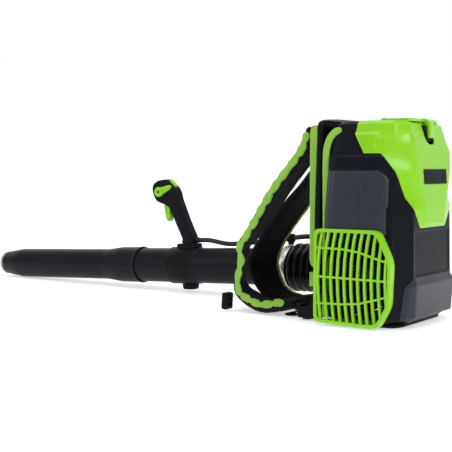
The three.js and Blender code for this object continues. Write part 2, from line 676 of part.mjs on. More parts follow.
// ---- Hose ----
function bellowsHose() {
  const [rear, front] = [HOSE_REAR_X, TUBE_X + 2];
  const cuff = 26;
  const run = front + cuff - (rear - cuff);
  const outline = [[rear, HOSE.cuff], [rear - cuff, HOSE.cuff]];
  for (let i = 0; i < HOSE.ridges; i += 1) {
    outline.push([rear - cuff + (run * (i + 0.1)) / HOSE.ridges, HOSE.valley]);
    outline.push([rear - cuff + (run * (i + 0.5)) / HOSE.ridges, HOSE.ridge]);
  }
  outline.push([front + cuff, HOSE.cuff], [front, HOSE.cuff], [front, HOSE.bore], [rear, HOSE.bore]);
  const straight = turned(outline, 0, 0, 24);
  const rise = (TUBE_Z - HOSE_Z) / (front - rear);
  return straight.transform([1, 0, rise, 0, 0, 1, 0, 0, 0, 0, 1, 0, 0, HOSE_Y, HOSE_Z - rise * rear, 1]);
}

function clampBand(x, z, width, radius) {
  const half = width / 2;
  const ring = turned(
    [[x - half, radius], [x - half, radius + 2], [x + half, radius + 2], [x + half, radius]], HOSE_Y, z, 32,
  );
  return ring.add(box(x - half + 3, x + half - 3, HOSE_Y - 9, HOSE_Y + 9, z - radius - 12, z - radius - 1.4));
}

// ---- Control cable ----
const CABLE_RADIUS = 6.5;
const CABLE_ROUTE = [
  [-639.2, 147.3, 150], [-600, 148, 150], [-540, 141, 150], [-480, 146, 150], [-420, 153, 150],
  [-364, 161, 150], [-330, 166, 150], [-290, 171, 150], [-230, 172, 150], [-160, 173, 151], [-105, 176, 150],
  [-73, 178, 148],
];

function controlCable() {
  const points = CABLE_ROUTE.map(([x, z, y]) => new THREE.Vector3(x, y, z));
  return sweep(new THREE.CatmullRomCurve3(points), () => CABLE_RADIUS, 30, 8);
}

function cableClip() {
  const ring = rodX(HOSE_Y, 165, CABLE_RADIUS + 5.5, -345, -329, 24)
    .add(box(-343, -331, HOSE_Y - 6, HOSE_Y + 6, 147.3, 159));
  return ring.subtract(rodX(HOSE_Y, 165, CABLE_RADIUS + 2.5, -360, -300, 24));
}

// ---- Blow tube, in its own frame: x = -s along the axis, z up, origin at the hose clamp ----
const TUBE_SIDES = 30;

function pipe(outer, wall) {
  const inner = outer.slice().reverse().map(([s, r]) => [s, r - wall]);
  return turned([...outer, ...inner].map(([s, r]) => [-s, r]), 0, 0, TUBE_SIDES);
}

function rearTube() {
  const spigot = TUBE.mid - TUBE.wall - 0.5;
  const neck = TUBE.rear - 1.5;
  return pipe([[-24, neck], [1, neck], [3, TUBE.rear], [MID_START - GAP, TUBE.rear], [MID_START, spigot],
    [MID_START + 34, spigot]], TUBE.wall);
}

function midTube() {
  return turned([
    [MID_START + GAP, COLLAR_RADIUS], [MID_START + 9, COLLAR_RADIUS], [MID_START + 14, TUBE.mid],
    [SOCKET_END - 6, TUBE.mid], [SOCKET_END - 6, TUBE.mid - TUBE.wall],
    [MID_START + GAP, TUBE.mid - TUBE.wall],
  ].map(([s, r]) => [-s, r]), 0, 0, TUBE_SIDES);
}

function nozzleTube() {
  const flare = TUBE.mid + 0.5;
  return turned([
    [SOCKET_START, flare + 3.5], [SOCKET_START + 6, flare + 2.5], [SOCKET_END - 20, flare + 2.5],
    [SOCKET_END + 34, TUBE.nozzle], [TIP_START, TUBE.nozzle], [TUBE_LENGTH - 10, TUBE.tip + 1.4],
    [TUBE_LENGTH - 10, TUBE.tip - 1.6], [TIP_START, TUBE.nozzle - TUBE.wall],
    [SOCKET_END + 34, TUBE.nozzle - TUBE.wall], [SOCKET_END, flare], [SOCKET_START, flare],
  ].map(([s, r]) => [-s, r]), 0, 0, TUBE_SIDES);
}

function nozzleRing() {
  const start = TUBE_LENGTH - 10 + GAP;
  return turned([
    [start, TUBE.tip + 1.6], [TUBE_LENGTH, TUBE.tip + 1], [TUBE_LENGTH + 2, TUBE.tip - 1],
    [TUBE_LENGTH, TUBE.tip - 2.6], [start, TUBE.tip - 2],
  ].map(([s, r]) => [-s, r]), 0, 0, TUBE_SIDES);
}

// The tightening block under the handle's clamp ring.
function clampBlock() {
  const block = plateXZ([[-344, -68], [-305, -68], [-300, -44], [-349, -44]], -12, 12, 5, 2, 2);
  return block.subtract(rodX(0, 0, CLAMP.radius + GAP, -500, 0, 36));
}

// ---- Control handle, in the blow tube's frame ----
const HANDLE_HALF = 17;
const GRIP_OUTLINE = [
  [-297, 63], [-300, 74], [-327, 132], [-351, 192], [-353, 206], [-361, 222], [-388, 248], [-420, 245],
  [-437, 236], [-442, 222], [-436, 198], [-426, 184], [-404, 177], [-384, 168], [-372, 146], [-337, 74],
  [-343, 63],
];
const GLAND_Z = 72;
const TRIGGER_PIVOT = { x: -392, z: 182 };
const TRIGGER_SLOT = [[-412, 110], [-412, 186], [-400, 196], [-376, 196], [-360, 160], [-353, 110]];
const LEVER = { x: -410, z: 212, radius: 14, thick: 10 };
const BUTTON = { x: -374, z: 234, length: 26, half: 6.5, angle: Math.atan2(26, 27) };
const SWITCH = { x0: -353, x1: -340, half: 9, z0: 122, z1: 146 };

function slopeBox(length, half, low, high) {
  const geometry = new THREE.BoxGeometry(length, half * 2, high - low);
  geometry.translate(0, 0, (low + high) / 2);
  return placed(geometry, BUTTON.x, 0, BUTTON.z, 0, BUTTON.angle);
}

function triggerSwitch(gap) {
  const { x0, x1, half, z0, z1 } = SWITCH;
  return box(x0 - gap, x1 + gap, -half - gap, half + gap, z0 - gap, z1 + gap);
}

function handleShell(sign) {
  const whole = plateXZ(GRIP_OUTLINE, -HANDLE_HALF, HANDLE_HALF, 6, 3.5, 2);
  const half = sign < 0 ? box(-600, -100, -50, -GAP / 2, 0, 400) : box(-600, -100, GAP / 2, 50, 0, 400);
  const shell = whole.intersect(half);
  return (sign < 0 ? shell.add(leverStub()) : shell)
    .subtract(plateXZ(TRIGGER_SLOT, -8, 8))
    .subtract(rodY(TRIGGER_PIVOT.x, TRIGGER_PIVOT.z, 2.3, -13, 13, 20))
    .subtract(slopeBox(BUTTON.length + 1, BUTTON.half + 0.5, -14, 20))
    .subtract(triggerSwitch(GAP))
    .subtract(rodX(0, GLAND_Z, CABLE_RADIUS + 2, -312, -290, 20));
}

const CLAMP = { radius: TUBE.mid + 4, front: -386, back: -302 };

function handleBase() {
  const block = plateXZ([[-356, 20], [-292, 20], [-292, 62.6], [-356, 62.6]], -17, 17, 4, 0, 2);
  const ring = turned([
    [CLAMP.front, 0], [CLAMP.front, CLAMP.radius - 3], [CLAMP.front + 6, CLAMP.radius],
    [CLAMP.back, CLAMP.radius], [CLAMP.back, 0],
  ], 0, 0, 36);
  return block.add(ring)
    .subtract(rodX(0, 0, TUBE.mid + GAP, -500, -200, 36))
    .subtract(rodX(0, 0, COLLAR_RADIUS + GAP, -MID_START - 15, -280, 36));
}

function trigger() {
  const outline = [[-394, 190], [-403, 184], [-406, 172], [-404, 150], [-398, 128], [-388, 126], [-383, 134],
    [-386, 156], [-380, 174], [-382, 188]];
  const bore = rodY(TRIGGER_PIVOT.x, TRIGGER_PIVOT.z, 2.1, -10, 10, 20);
  return plateXZ(outline, -7, 7, 3, 1.2, 2).subtract(bore);
}

function triggerPin() {
  return rodY(TRIGGER_PIVOT.x, TRIGGER_PIVOT.z, 2, -12.5, 12.5, 20);
}

function cruiseLever() {
  const [outer, inner] = [-HANDLE_HALF - LEVER.thick, -HANDLE_HALF - GAP];
  const hub = rodY(LEVER.x, LEVER.z, LEVER.radius, outer, inner, 28);
  const armOutline = [[-414, 222], [-404, 202], [-376, 216], [-366, 223], [-370, 231]];
  return hub.add(plateXZ(armOutline, outer + 2, inner - 0.6, 4))
    .subtract(rodY(LEVER.x, LEVER.z, 4.1, -40, -10, 20));
}

// The stub that the cruise lever turns on, with a hexagon socket in its end.
function leverStub() {
  const end = -HANDLE_HALF - LEVER.thick - 1;
  return rodY(LEVER.x, LEVER.z, 4, end, -7, 20).subtract(rodY(LEVER.x, LEVER.z, 2.2, end - 1, end + 3, 6));
}

function cableGland() {
  return turned([[-311, 5], [-311, 8], [-296, 8], [-289, 7.5], [-289, 5]], 0, GLAND_Z, 20);
}

// ---- Assembly ----
const blower = new THREE.Group();
const tubeGroup = new THREE.Group();
tubeGroup.position.set(TUBE_X, HOSE_Y, TUBE_Z);
tubeGroup.rotation.y = -TUBE_TILT;
blower.add(tubeGroup);

function addPart(name, manifold, look, group = blower) {
  const data = manifold.getMesh();
  const geometry = new THREE.BufferGeometry();
  geometry.setAttribute('position', new THREE.Float32BufferAttribute(data.vertProperties, 3));
  geometry.setIndex(Array.from(data.triVerts));
  geometry.computeVertexNormals();
  const mesh = new THREE.Mesh(geometry, material(look));
  mesh.name = name;
  group.add(mesh);
}

addPart('housing_front', housingFront(), 'charcoal');
addPart('housing_rear', housingRear(), 'charcoal');
addPart('hood', hood(), 'lime');
addPart('latch_catch', latchCatch(), 'black');
addPart('side_panel_left', sidePanel(-1), 'panelGrey');
addPart('side_panel_right', sidePanel(1), 'panelGrey');
addPart('rear_lower_panel', rearLowerPanel(), 'panelGrey');
addPart('badge_plate', badgePlate(), 'black');
addPart('intake_grille', intakeGrille(), 'lime');
addPart('fan_duct', fanDuct(), 'black');
addPart('impeller', impeller(), 'panelGrey');
addPart('motor_shaft', rodY(FAN.x, FAN.z, FAN.shaft, -95.5, 19, 20), 'steel');
addPart('stator', stator(), 'black');
addPart('motor', motorCan(), 'copper');
addPart('front_bearing', bearing(-51.5, -44), 'steel');
addPart('rear_bearing', bearing(12, 19.5), 'steel');
addPart('outlet_elbow', outletElbow(), 'black');
addPart('battery_bay', batteryBay(), 'black');
addPart('battery_pack', batteryPack(), 'panelGrey');
addPart('battery_terminals', box(44, 80, -30, 30, 235.4, 249.6), 'copper');
addPart('controller', controllerBox(), 'steel');
addPart('battery_lid', lid(), 'lime');
addPart('lid_hinge_pin', lidHingePin(), 'steel');
addPart('lid_latch', lidLatch(), 'lime');
addPart('lid_latch_pin', lidLatchPin(), 'steel');
addPart('back_frame', backFrame(), 'black');
addPart('top_cap', topCap(), 'black');
addPart('edge_trim', edgeTrim(), 'gusset');
addPart('back_pad', backPad(), 'fabric');
addPart('lumbar_pad', lumbarPad(), 'fabric');
addPart('left_strap', shoulderStrap(LEFT_STRAP, LEFT_STRAP_Y, LEFT_STRAP_WIDTH), 'fabric');
addPart('right_strap', shoulderStrap(RIGHT_STRAP, RIGHT_STRAP_Y, RIGHT_STRAP_WIDTH), 'fabric');
[['left', LEFT_ADJUSTER_Y], ['right', RIGHT_ADJUSTER_Y]].forEach(([side, y]) => {
  addPart(`${side}_adjuster`, adjuster(y), 'black');
  addPart(`${side}_webbing`, lowerWebbing(y), 'fabric');
});
addPart('chest_buckle', chestBuckle(), 'black');
addPart('front_left_foot', rodZ(-136, -109, 11, 0, 4.7, 20), 'rubber');
addPart('front_right_foot', rodZ(-136, 52, 11, 0, 4.7, 20), 'rubber');
addPart('base_tray', baseTray(), 'black');
addPart('bellows_hose', bellowsHose(), 'rubber');
addPart('rear_hose_clamp', clampBand(-93, 95.6, 18, HOSE.cuff + GAP + 0.6), 'steel');
addPart('front_hose_clamp', clampBand(-335, 88.4, 20, HOSE.cuff + GAP + 0.6), 'steel');
addPart('cable_clip', cableClip(), 'black');
addPart('control_cable', controlCable(), 'rubber');

addPart('rear_tube', rearTube(), 'tubeBlack', tubeGroup);
addPart('mid_tube', midTube(), 'tubeBlack', tubeGroup);
addPart('nozzle_tube', nozzleTube(), 'tubeBlack', tubeGroup);
addPart('nozzle_ring', nozzleRing(), 'tipGrey', tubeGroup);
addPart('handle_clamp_block', clampBlock(), 'black', tubeGroup);
addPart('handle_base', handleBase(), 'black', tubeGroup);
addPart('handle_left_shell', handleShell(-1), 'charcoal', tubeGroup);
addPart('handle_right_shell', handleShell(1), 'charcoal', tubeGroup);
addPart('trigger', trigger(), 'lime', tubeGroup);
addPart('trigger_pin', triggerPin(), 'steel', tubeGroup);
addPart('trigger_switch', triggerSwitch(0), 'black', tubeGroup);
addPart('thumb_button', slopeBox(BUTTON.length, BUTTON.half, -5, 4), 'lime', tubeGroup);
addPart('cruise_lever', cruiseLever(), 'lime', tubeGroup);
addPart('cable_gland', cableGland(), 'rubber', tubeGroup);

export default blower;
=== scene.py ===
import json
import math
from functools import lru_cache

import bmesh
import bpy
import numpy as np
from mathutils import Matrix, Vector, noise


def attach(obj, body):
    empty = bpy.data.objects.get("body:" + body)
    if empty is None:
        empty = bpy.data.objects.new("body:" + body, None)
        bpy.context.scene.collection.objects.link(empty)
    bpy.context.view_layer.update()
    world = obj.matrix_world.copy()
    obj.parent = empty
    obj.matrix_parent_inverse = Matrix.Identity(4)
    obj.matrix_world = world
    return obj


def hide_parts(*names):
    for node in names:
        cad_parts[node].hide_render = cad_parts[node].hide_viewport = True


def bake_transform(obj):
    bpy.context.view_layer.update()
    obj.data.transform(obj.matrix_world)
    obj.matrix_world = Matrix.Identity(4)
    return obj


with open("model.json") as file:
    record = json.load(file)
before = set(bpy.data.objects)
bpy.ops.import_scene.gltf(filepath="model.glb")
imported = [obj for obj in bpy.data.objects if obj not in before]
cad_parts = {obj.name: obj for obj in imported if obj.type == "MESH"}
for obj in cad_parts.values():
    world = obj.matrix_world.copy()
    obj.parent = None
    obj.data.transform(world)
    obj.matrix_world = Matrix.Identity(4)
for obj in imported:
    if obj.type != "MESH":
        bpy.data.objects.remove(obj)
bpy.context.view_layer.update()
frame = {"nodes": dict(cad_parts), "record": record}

MM = 0.001
GAP = 0.4

# The camera stands at the photograph's angle, behind the wearer's left side.
CAMERA = {"place": (0.9974, -2.0566, 0.345), "azimuth": 35.0, "pitch": -3.29, "lens": 77.57}

# ---------------------------------------------------------------- materials


class Look:
    """A Principled material with helpers for procedural detail in object coordinates (metres)."""

    def __init__(self, name, colour, roughness, metallic=0.0):
        self.material = bpy.data.materials.new(name)
        self.material.use_nodes = True
        self.tree = self.material.node_tree
        self.shader = self.tree.nodes["Principled BSDF"]
        self.shader.inputs["Base Color"].default_value = (*colour, 1)
        self.shader.inputs["Roughness"].default_value = roughness
        self.shader.inputs["Metallic"].default_value = metallic
        self.colour = colour
        self.roughness = roughness
        self.coordinates = self.tree.nodes.new("ShaderNodeTexCoord").outputs["Object"]
        self.heights = []

    def node(self, kind, **values):
        made = self.tree.nodes.new(kind)
        for key, value in values.items():
            if hasattr(made, key):
                setattr(made, key, value)
            else:
                made.inputs[key].default_value = value
        return made

    def link(self, a, b):
        self.tree.links.new(a, b)

    def noise(self, scale, detail=3.0, stretch=None):
        made = self.node("ShaderNodeTexNoise", Scale=scale, Detail=detail)
        source = self.coordinates
        if stretch:
            mapping = self.node("ShaderNodeMapping", Scale=stretch)
            self.link(source, mapping.inputs["Vector"])
            source = mapping.outputs["Vector"]
        self.link(source, made.inputs["Vector"])
        return made.outputs["Fac"]

    def ranged(self, value, low, high, from_low=0.0, from_high=1.0):
        made = self.node("ShaderNodeMapRange")
        self.link(value, made.inputs["Value"])
        made.inputs["From Min"].default_value = from_low
        made.inputs["From Max"].default_value = from_high
        made.inputs["To Min"].default_value = low
        made.inputs["To Max"].default_value = high
        return made.outputs["Result"]

    def vary_colour(self, factor, other, low=0.35, high=0.65, amount=1.0):
        mix = self.node("ShaderNodeMix", data_type="RGBA")
        mix.inputs["A"].default_value = (*self.colour, 1)
        mix.inputs["B"].default_value = (*other, 1)
        self.link(self.ranged(factor, 0, amount, low, high), mix.inputs["Factor"])
        self.link(mix.outputs["Result"], self.shader.inputs["Base Color"])
        return mix.outputs["Result"]

    def vary_roughness(self, factor, spread):
        rough = self.ranged(factor, self.roughness - spread, self.roughness + spread, 0.3, 0.7)
        self.link(rough, self.shader.inputs["Roughness"])

    def bump(self, height, strength, distance):
        made = self.node("ShaderNodeBump")
        made.inputs["Strength"].default_value = strength
        made.inputs["Distance"].default_value = distance
        self.link(height, made.inputs["Height"])
        if self.heights:
            self.link(self.heights[-1], made.inputs["Normal"])
        self.heights.append(made.outputs["Normal"])
        self.link(made.outputs["Normal"], self.shader.inputs["Normal"])


def moulded(name, colour, roughness, grain=0.25, coat=0.0, specular=0.5, wear=0.5):
    """Injection moulded plastic: fine grain, patchy gloss and rubbed edges."""
    look = Look(name, colour, roughness)
    look.vary_roughness(look.noise(9.0, 4.0), 0.05)
    lighter = tuple(min(1.0, c * 1.4 + 0.01) for c in colour)
    edge = look.node("ShaderNodeNewGeometry").outputs["Pointiness"]
    look.vary_colour(edge, lighter, 0.505, 0.56, wear)
    look.bump(look.noise(2600.0, 2.0), grain, 0.00012)
    look.bump(look.noise(28.0, 2.0), 0.05, 0.0012)
    look.shader.inputs["Coat Weight"].default_value = coat
    look.shader.inputs["Coat Roughness"].default_value = 0.12
    look.shader.inputs["IOR"].default_value = 1.5
    look.shader.inputs["Specular IOR Level"].default_value = specular
    return look.material


def metal(name, colour, roughness, brushed=(1, 1, 60)):
    look = Look(name, colour, roughness, 1.0)
    streaks = look.noise(90.0, 4.0, brushed)
    look.vary_roughness(streaks, 0.1)
    look.bump(streaks, 0.08, 0.0003)
    return look.material


def rubbery(name, colour, roughness, specular=0.5):
    look = Look(name, colour, roughness)
    look.vary_roughness(look.noise(24.0, 5.0), 0.08)
    look.vary_colour(look.noise(55.0, 4.0), tuple(c * 1.9 + 0.003 for c in colour), 0.45, 0.8, 0.6)
    look.bump(look.noise(900.0, 2.0), 0.12, 0.0002)
    look.shader.inputs["IOR"].default_value = 1.52
    look.shader.inputs["Specular IOR Level"].default_value = specular
    return look.material


def woven(name, colour, thread=0.0011, roughness=0.92, fuzz=0.2, second=None):
    """Plain woven cloth: crossed sets of threads in the object's own axes."""
    look = Look(name, colour, roughness)
    weave = None
    for axis in ("X", "Y", "Z"):
        wave = look.node("ShaderNodeTexWave", bands_direction=axis, wave_profile="SIN")
        wave.inputs["Scale"].default_value = 0.314 / thread
        wave.inputs["Distortion"].default_value = 0.6
        look.link(look.coordinates, wave.inputs["Vector"])
        if weave is None:
            weave = wave.outputs["Fac"]
            continue
        joined = look.node("ShaderNodeMath", operation="MULTIPLY_ADD")
        look.link(weave, joined.inputs[0])
        joined.inputs[1].default_value = 0.6
        look.link(wave.outputs["Fac"], joined.inputs[2])
        weave = joined.outputs["Value"]
    other = second or tuple(c * 1.9 + 0.004 for c in colour)
    look.vary_colour(weave, other, 0.7, 1.9, 0.7)
    look.bump(weave, 0.45, thread * 0.3)
    look.bump(look.noise(60.0, 4.0), 0.25, 0.0018)
    look.shader.inputs["Sheen Weight"].default_value = fuzz
    look.shader.inputs["Sheen Roughness"].default_value = 0.45
    look.shader.inputs["Specular IOR Level"].default_value = 0.2
    return look.material


def air_mesh(name, colour, hole_shade):
    """Knitted spacer mesh: rows of small holes between thicker threads, with painted shade in the holes as a
    darker green.
    """
    look = Look(name, colour, 0.8)
    cells = look.node("ShaderNodeTexVoronoi", Scale=430.0)
    look.link(look.coordinates, cells.inputs["Vector"])
    holes = look.ranged(cells.outputs["Distance"], 1, 0, 0.1, 0.42)
    # The holes take the darker green: painted shade inside the holes.
    look.vary_colour(holes, hole_shade, 0.25, 0.95, 0.65)
    look.bump(holes, 0.7, -0.0007)
    look.bump(look.noise(140.0, 3.0), 0.3, 0.0012)
    look.shader.inputs["Sheen Weight"].default_value = 0.35
    look.shader.inputs["Sheen Roughness"].default_value = 0.5
    look.shader.inputs["Specular IOR Level"].default_value = 0.25
    return look.material


LIME = (0.225, 0.56, 0.006)
MATERIALS = {
    "charcoal": moulded("charcoal_plastic", (0.0062, 0.0078, 0.0108), 0.34, 0.3, 0.0, 0.06, 0.2),
    "panel_grey": moulded("panel_grey_plastic", (0.030, 0.033, 0.045), 0.3, 0.25, 0.0, 0.18, 0.3),
    "black_plastic": moulded("black_plastic", (0.0040, 0.0045, 0.0060), 0.4, 0.3, 0.0, 0.07, 0.2),
    "lime_plastic": moulded("lime_plastic", LIME, 0.28, 0.08, 0.12, 0.32, 0.25),
    "tube_plastic": moulded("tube_plastic", (0.0075, 0.0090, 0.0125), 0.32, 0.2, 0.0, 0.09, 0.25),
    "tip_grey": moulded("tip_grey_plastic", (0.33, 0.34, 0.35), 0.4, 0.2),
    "rubber": rubbery("black_rubber", (0.0022, 0.0023, 0.0028), 0.3, 0.3),
    "steel": metal("brushed_steel", (0.5, 0.5, 0.5), 0.34),
    "aluminium": metal("cast_aluminium", (0.52, 0.52, 0.54), 0.45, (1, 1, 1)),
    "contact_brass": metal("contact_brass", (0.6, 0.4, 0.14), 0.35),
    "black_fabric": woven("black_fabric", (0.0028, 0.0028, 0.0036), fuzz=0.06),
    # The second green is painted shade for the mesh holes.
    "green_mesh": air_mesh("green_mesh", (0.24, 0.48, 0.05), (0.02, 0.06, 0.004)),
}

record = frame["record"]
SLOT_OF = {entry["node"]: entry["material_slot"] for entry in record["subparts"]}
BODY_OF = {node: body for body, members in record["behaviour"]["bodies"].items() for node in members}
for cad_node, slot_name in SLOT_OF.items():
    cad_object = frame["nodes"][cad_node]
    cad_object.data.materials.clear()
    cad_object.data.materials.append(MATERIALS[slot_name])

# ---------------------------------------------------------------- mesh tools


def new_object(name, mesh):
    made = bpy.data.objects.new(name, mesh)
    bpy.context.scene.collection.objects.link(made)
    return made


def from_points(name, points, faces):
    """A mesh object from points in millimetres."""
    mesh = bpy.data.meshes.new(name)
    mesh.from_pydata([tuple(c * MM for c in p) for p in points], [], faces)
    mesh.update()
    return new_object(name, mesh)


def apply_modifiers(piece):
    bpy.context.view_layer.update()
    evaluated = piece.evaluated_get(bpy.context.evaluated_depsgraph_get())
    mesh = bpy.data.meshes.new_from_object(evaluated)
    piece.modifiers.clear()
    old = piece.data
    piece.data = mesh
    bpy.data.meshes.remove(old)
    return piece


def smooth(piece, angle=38):
    for polygon in piece.data.polygons:
        polygon.use_smooth = True
    if angle:
        piece.data.set_sharp_from_angle(angle=math.radians(angle))
    return piece


def face_out(piece):
    work = bmesh.new()
    work.from_mesh(piece.data)
    bmesh.ops.remove_doubles(work, verts=work.verts, dist=0.02 * MM)
    bmesh.ops.recalc_face_normals(work, faces=work.faces)
    work.to_mesh(piece.data)
    work.free()
    return piece


def stands_for(piece, node, body=None, slot=None, replaced=True):
    """Gives a piece its finish and body from a CAD node, which it stands for unless replaced is False."""
    slot = slot or SLOT_OF[node]
    if not piece.data.materials:
        piece.data.materials.append(MATERIALS[slot])
    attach(piece, body or BODY_OF[node])
    if replaced:
        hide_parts(node)
    return piece


def bevel(piece, width, segments=3, angle=32):
    cut = piece.modifiers.new("bevel", "BEVEL")
    cut.width = width * MM
    cut.segments = segments
    cut.limit_method = "ANGLE"
    cut.angle_limit = math.radians(angle)
    cut.harden_normals = False
    cut.use_clamp_overlap = True
    return apply_modifiers(piece)


def refined(node, width=1.0, segments=3, name=None, angle=32):
    """The CAD node's own shape with rounded edges."""
    mesh = frame["nodes"][node].data.copy()
    piece = new_object(name or node + "_skin", mesh)
    work = bmesh.new()
    work.from_mesh(mesh)
    bmesh.ops.remove_doubles(work, verts=work.verts, dist=0.005 * MM)
    bmesh.ops.dissolve_limit(work, angle_limit=math.radians(1.5), verts=work.verts, edges=work.edges)
    work.to_mesh(mesh)
    work.free()
    bevel(piece, width, segments, angle)
    smooth(piece, 34)
    return stands_for(piece, node)


def lathe(name, profile, steps):
    """A turned mesh about the X axis from a loop of (x, radius) in millimetres."""
    points, faces = [], []
    count = len(profile)
    for i in range(steps):
        angle = 2 * math.pi * i / steps
        points += [(x, r * math.cos(angle), r * math.sin(angle)) for x, r in profile]
    for i in range(steps):
        row, following = i * count, (i + 1) % steps * count
        for k in range(count):
            after = (k + 1) % count
            faces.append((row + k, row + after, following + after, following + k))
    return face_out(from_points(name, points, faces))


def lofted(name, points, count):
    """A closed mesh through rows of count points each, with its two ends capped."""
    last = len(points) - count
    faces = []
    for row in range(0, last, count):
        for k in range(count):
            after = (k + 1) % count
            faces.append((row + k, row + after, row + count + after, row + count + k))
    faces.append(tuple(range(count)))
    faces.append(tuple(reversed(range(last, len(points)))))
    return face_out(from_points(name, points, faces))


def rounded_polygon(corners, arc=6, edge=1):
    """Corners are (x, y, radius). Each gives arc + 1 points, and each side edge - 1 more between them."""
    count = len(corners)
    spans = []
    for i, (x, y, radius) in enumerate(corners):
        here = Vector((x, y))
        back = Vector(corners[i - 1][:2]) - here
        ahead = Vector(corners[(i + 1) % count][:2]) - here
        half = back.angle(ahead) / 2
        reach = min(radius / math.tan(half), back.length * 0.49, ahead.length * 0.49)
        start, end = here + back.normalized() * reach, here + ahead.normalized() * reach
        span = []
        for k in range(arc + 1):
            t = k / arc
            span.append(start * (1 - t) ** 2 + here * (2 * t * (1 - t)) + end * t ** 2)
        spans.append(span)
    points = []
    for i, span in enumerate(spans):
        points += span
        following = spans[(i + 1) % count][0]
        sides = edge[i] if isinstance(edge, (list, tuple)) else edge
        points += [span[-1].lerp(following, k / sides) for k in range(1, sides)]
    return points


def soft_step(value, low, high):
    t = min(1.0, max(0.0, (value - low) / (high - low)))
    return t * t * (3 - 2 * t)


# ---------------------------------------------------------------- fan unit body

# Height, then the reach of the front, the rear and each side, in millimetres.
BODY_LEVELS = [
    (8, -58, 104, 148), (20, -68, 120, 166), (110, -70, 125, 170), (250, -70, 123, 168), (330, -68, 120, 160),
    (385, -66, 115, 151), (428, -64, 109, 140), (446, -61, 103, 132), (452, -54, 96, 124),
]
# The body's rear corners, as (x, y, rounding) steps in from the rear and side faces. They shrink at the top.
REAR_CORNER = [(0, -66, 16), (-25, -23.5, 9), (-50, -8.5, 30), (-85, 0, 30)]
CORNER_SHRINK = (385, 0.4)
FRONT_RADIUS = 46
ROW_STEP = 3
SEAM_X = 30
TOP_MIDDLE_X = 22
TOP_RINGS = (0.94, 0.86, 0.6)
ARCH = {"rear": 99, "top": 378, "radius": 45, "rise": 3.0}
PANEL = {"rear": 86, "top": 346, "radius": 30, "bottom": 206, "front": -62}
PANEL_GROOVE_X = 25.4
# The rear face's shallow field: where the steps at its foot, head and sides start and end.
REAR_FIELD = {"foot": (112, 116), "head": (208, 213), "side": (92, 98), "depth": 1.6}
# The openings for the outlet elbow, on the right, and for the intake, on the left.
OUTLET = {"front": -60, "side": 60, "top": 185}
INTAKE = {"middle": (20, 112), "radius": 84, "side": -150}
LOWER_PANEL = [(127, 20), (122, 90), (101, 110)]
BADGE = {"half": 62, "low": 314, "high": 347}
# Half width of the green tongue at each height, and of its flat middle, both as (height, half width).
TONGUE = [(217, 66), (223, 73), (286, 119), (346, 136), (372, 142), (381, 144)]
TONGUE_CREASE = [(217, 30), (227, 43), (346, 88), (402, 100), (440, 88)]
TONGUE_RISE = 8
HOOD_SIDE = [(28, 381), (3, 425), (3, 470)]
# The ledge along the hood's sides: where it grows, ends above and fades towards the rear.
HOOD_LEDGE = {"depth": 4.5, "grows": (381, 423), "ends": (423, 428), "fades": (60, 66)}
# The hood's foot, the crease's first height and the side's foot, each clear of the housing.
HOOD_FOOT, HOOD_CREASE, HOOD_SIDE_FOOT = 217.4, 227, 381.3
# Where the housings end, below the tongue and below the hood's sides.
HOUSING_TOPS = (216.6, 380.7)
# The battery lid's opening, as its ends, its half width and the height it starts at.
LID_OPENING = {"ends": (29, 97), "half": 62, "above": 451}
# The recess behind the lid's latch, as (y, z), and its upper end.
RECESS_TOP = 447
RECESS = [(-26, 470), (-26, 419), (-22, 408), (-11, 402), (11, 402), (22, 408), (26, 419), (26, 470)]


@lru_cache(maxsize=None)
def body_level(z):
    heights = [level[0] for level in BODY_LEVELS]
    return [float(np.interp(z, heights, [level[k] for level in BODY_LEVELS])) for k in (1, 2, 3)]


@lru_cache(maxsize=None)
def rear_corner(z):
    """The (x, y, rounding) points of the right rear corner at a height."""
    _, rear, half = body_level(z)
    top = BODY_LEVELS[-1][0]
    scale = 1 - CORNER_SHRINK[1] * max(0.0, (z - CORNER_SHRINK[0]) / (top - CORNER_SHRINK[0]))
    return [(rear + x * scale, half + y * scale, rounding) for x, y, rounding in REAR_CORNER]


def body_ring(z):
    front, _, half = body_level(z)
    turn = FRONT_RADIUS * 0.42
    right = rear_corner(z) + [(front + turn, half, 26), (front, half - turn, 26)]
    left = [(x, -y, rounding) for x, y, rounding in reversed(right)]
    points = rounded_polygon(right + left, 5, [14, 6, 10, 34, 6, 80, 6, 34, 10, 6, 14, 60])
    return [(p.x, p.y, z) for p in points]


def body_work(zone, top=False):
    """The outer surface as a bmesh, wherever zone(x, y, z) holds."""
    low, high = BODY_LEVELS[0][0], BODY_LEVELS[-1][0]
    heights = sorted({float(level[0]) for level in BODY_LEVELS}
                     | {float(z) for z in range(low + ROW_STEP, high - 8, ROW_STEP)})
    rings = [body_ring(z) for z in heights]
    work = bmesh.new()
    rows = [[work.verts.new(Vector(p) * MM) for p in ring] for ring in rings]
    count = len(rows[0])
    for k, (below, above) in enumerate(zip(rows, rows[1:])):
        for i in range(count):
            if zone(*rings[k][i]):
                j = (i + 1) % count
                work.faces.new((below[i], below[j], above[j], above[i]))
    if top:
        middle = Vector((TOP_MIDDLE_X, 0, high)) * MM
        last = rows[-1]
        for share in TOP_RINGS:
            ring = [work.verts.new(middle + (v.co - middle) * share) for v in rows[-1]]
            for i in range(count):
                j = (i + 1) % count
                work.faces.new((last[i], last[j], ring[j], ring[i]))
            last = ring
        work.faces.new(last)
    bmesh.ops.delete(work, geom=[v for v in work.verts if not v.link_faces], context="VERTS")
    bmesh.ops.recalc_face_normals(work, faces=work.faces)
    return work


@lru_cache(maxsize=None)
def tongue_edge(z):
    """Half width of the green tongue at a height, before it opens out to the sides."""
    return float(np.interp(z, [p[0] for p in TONGUE], [p[1] for p in TONGUE]))


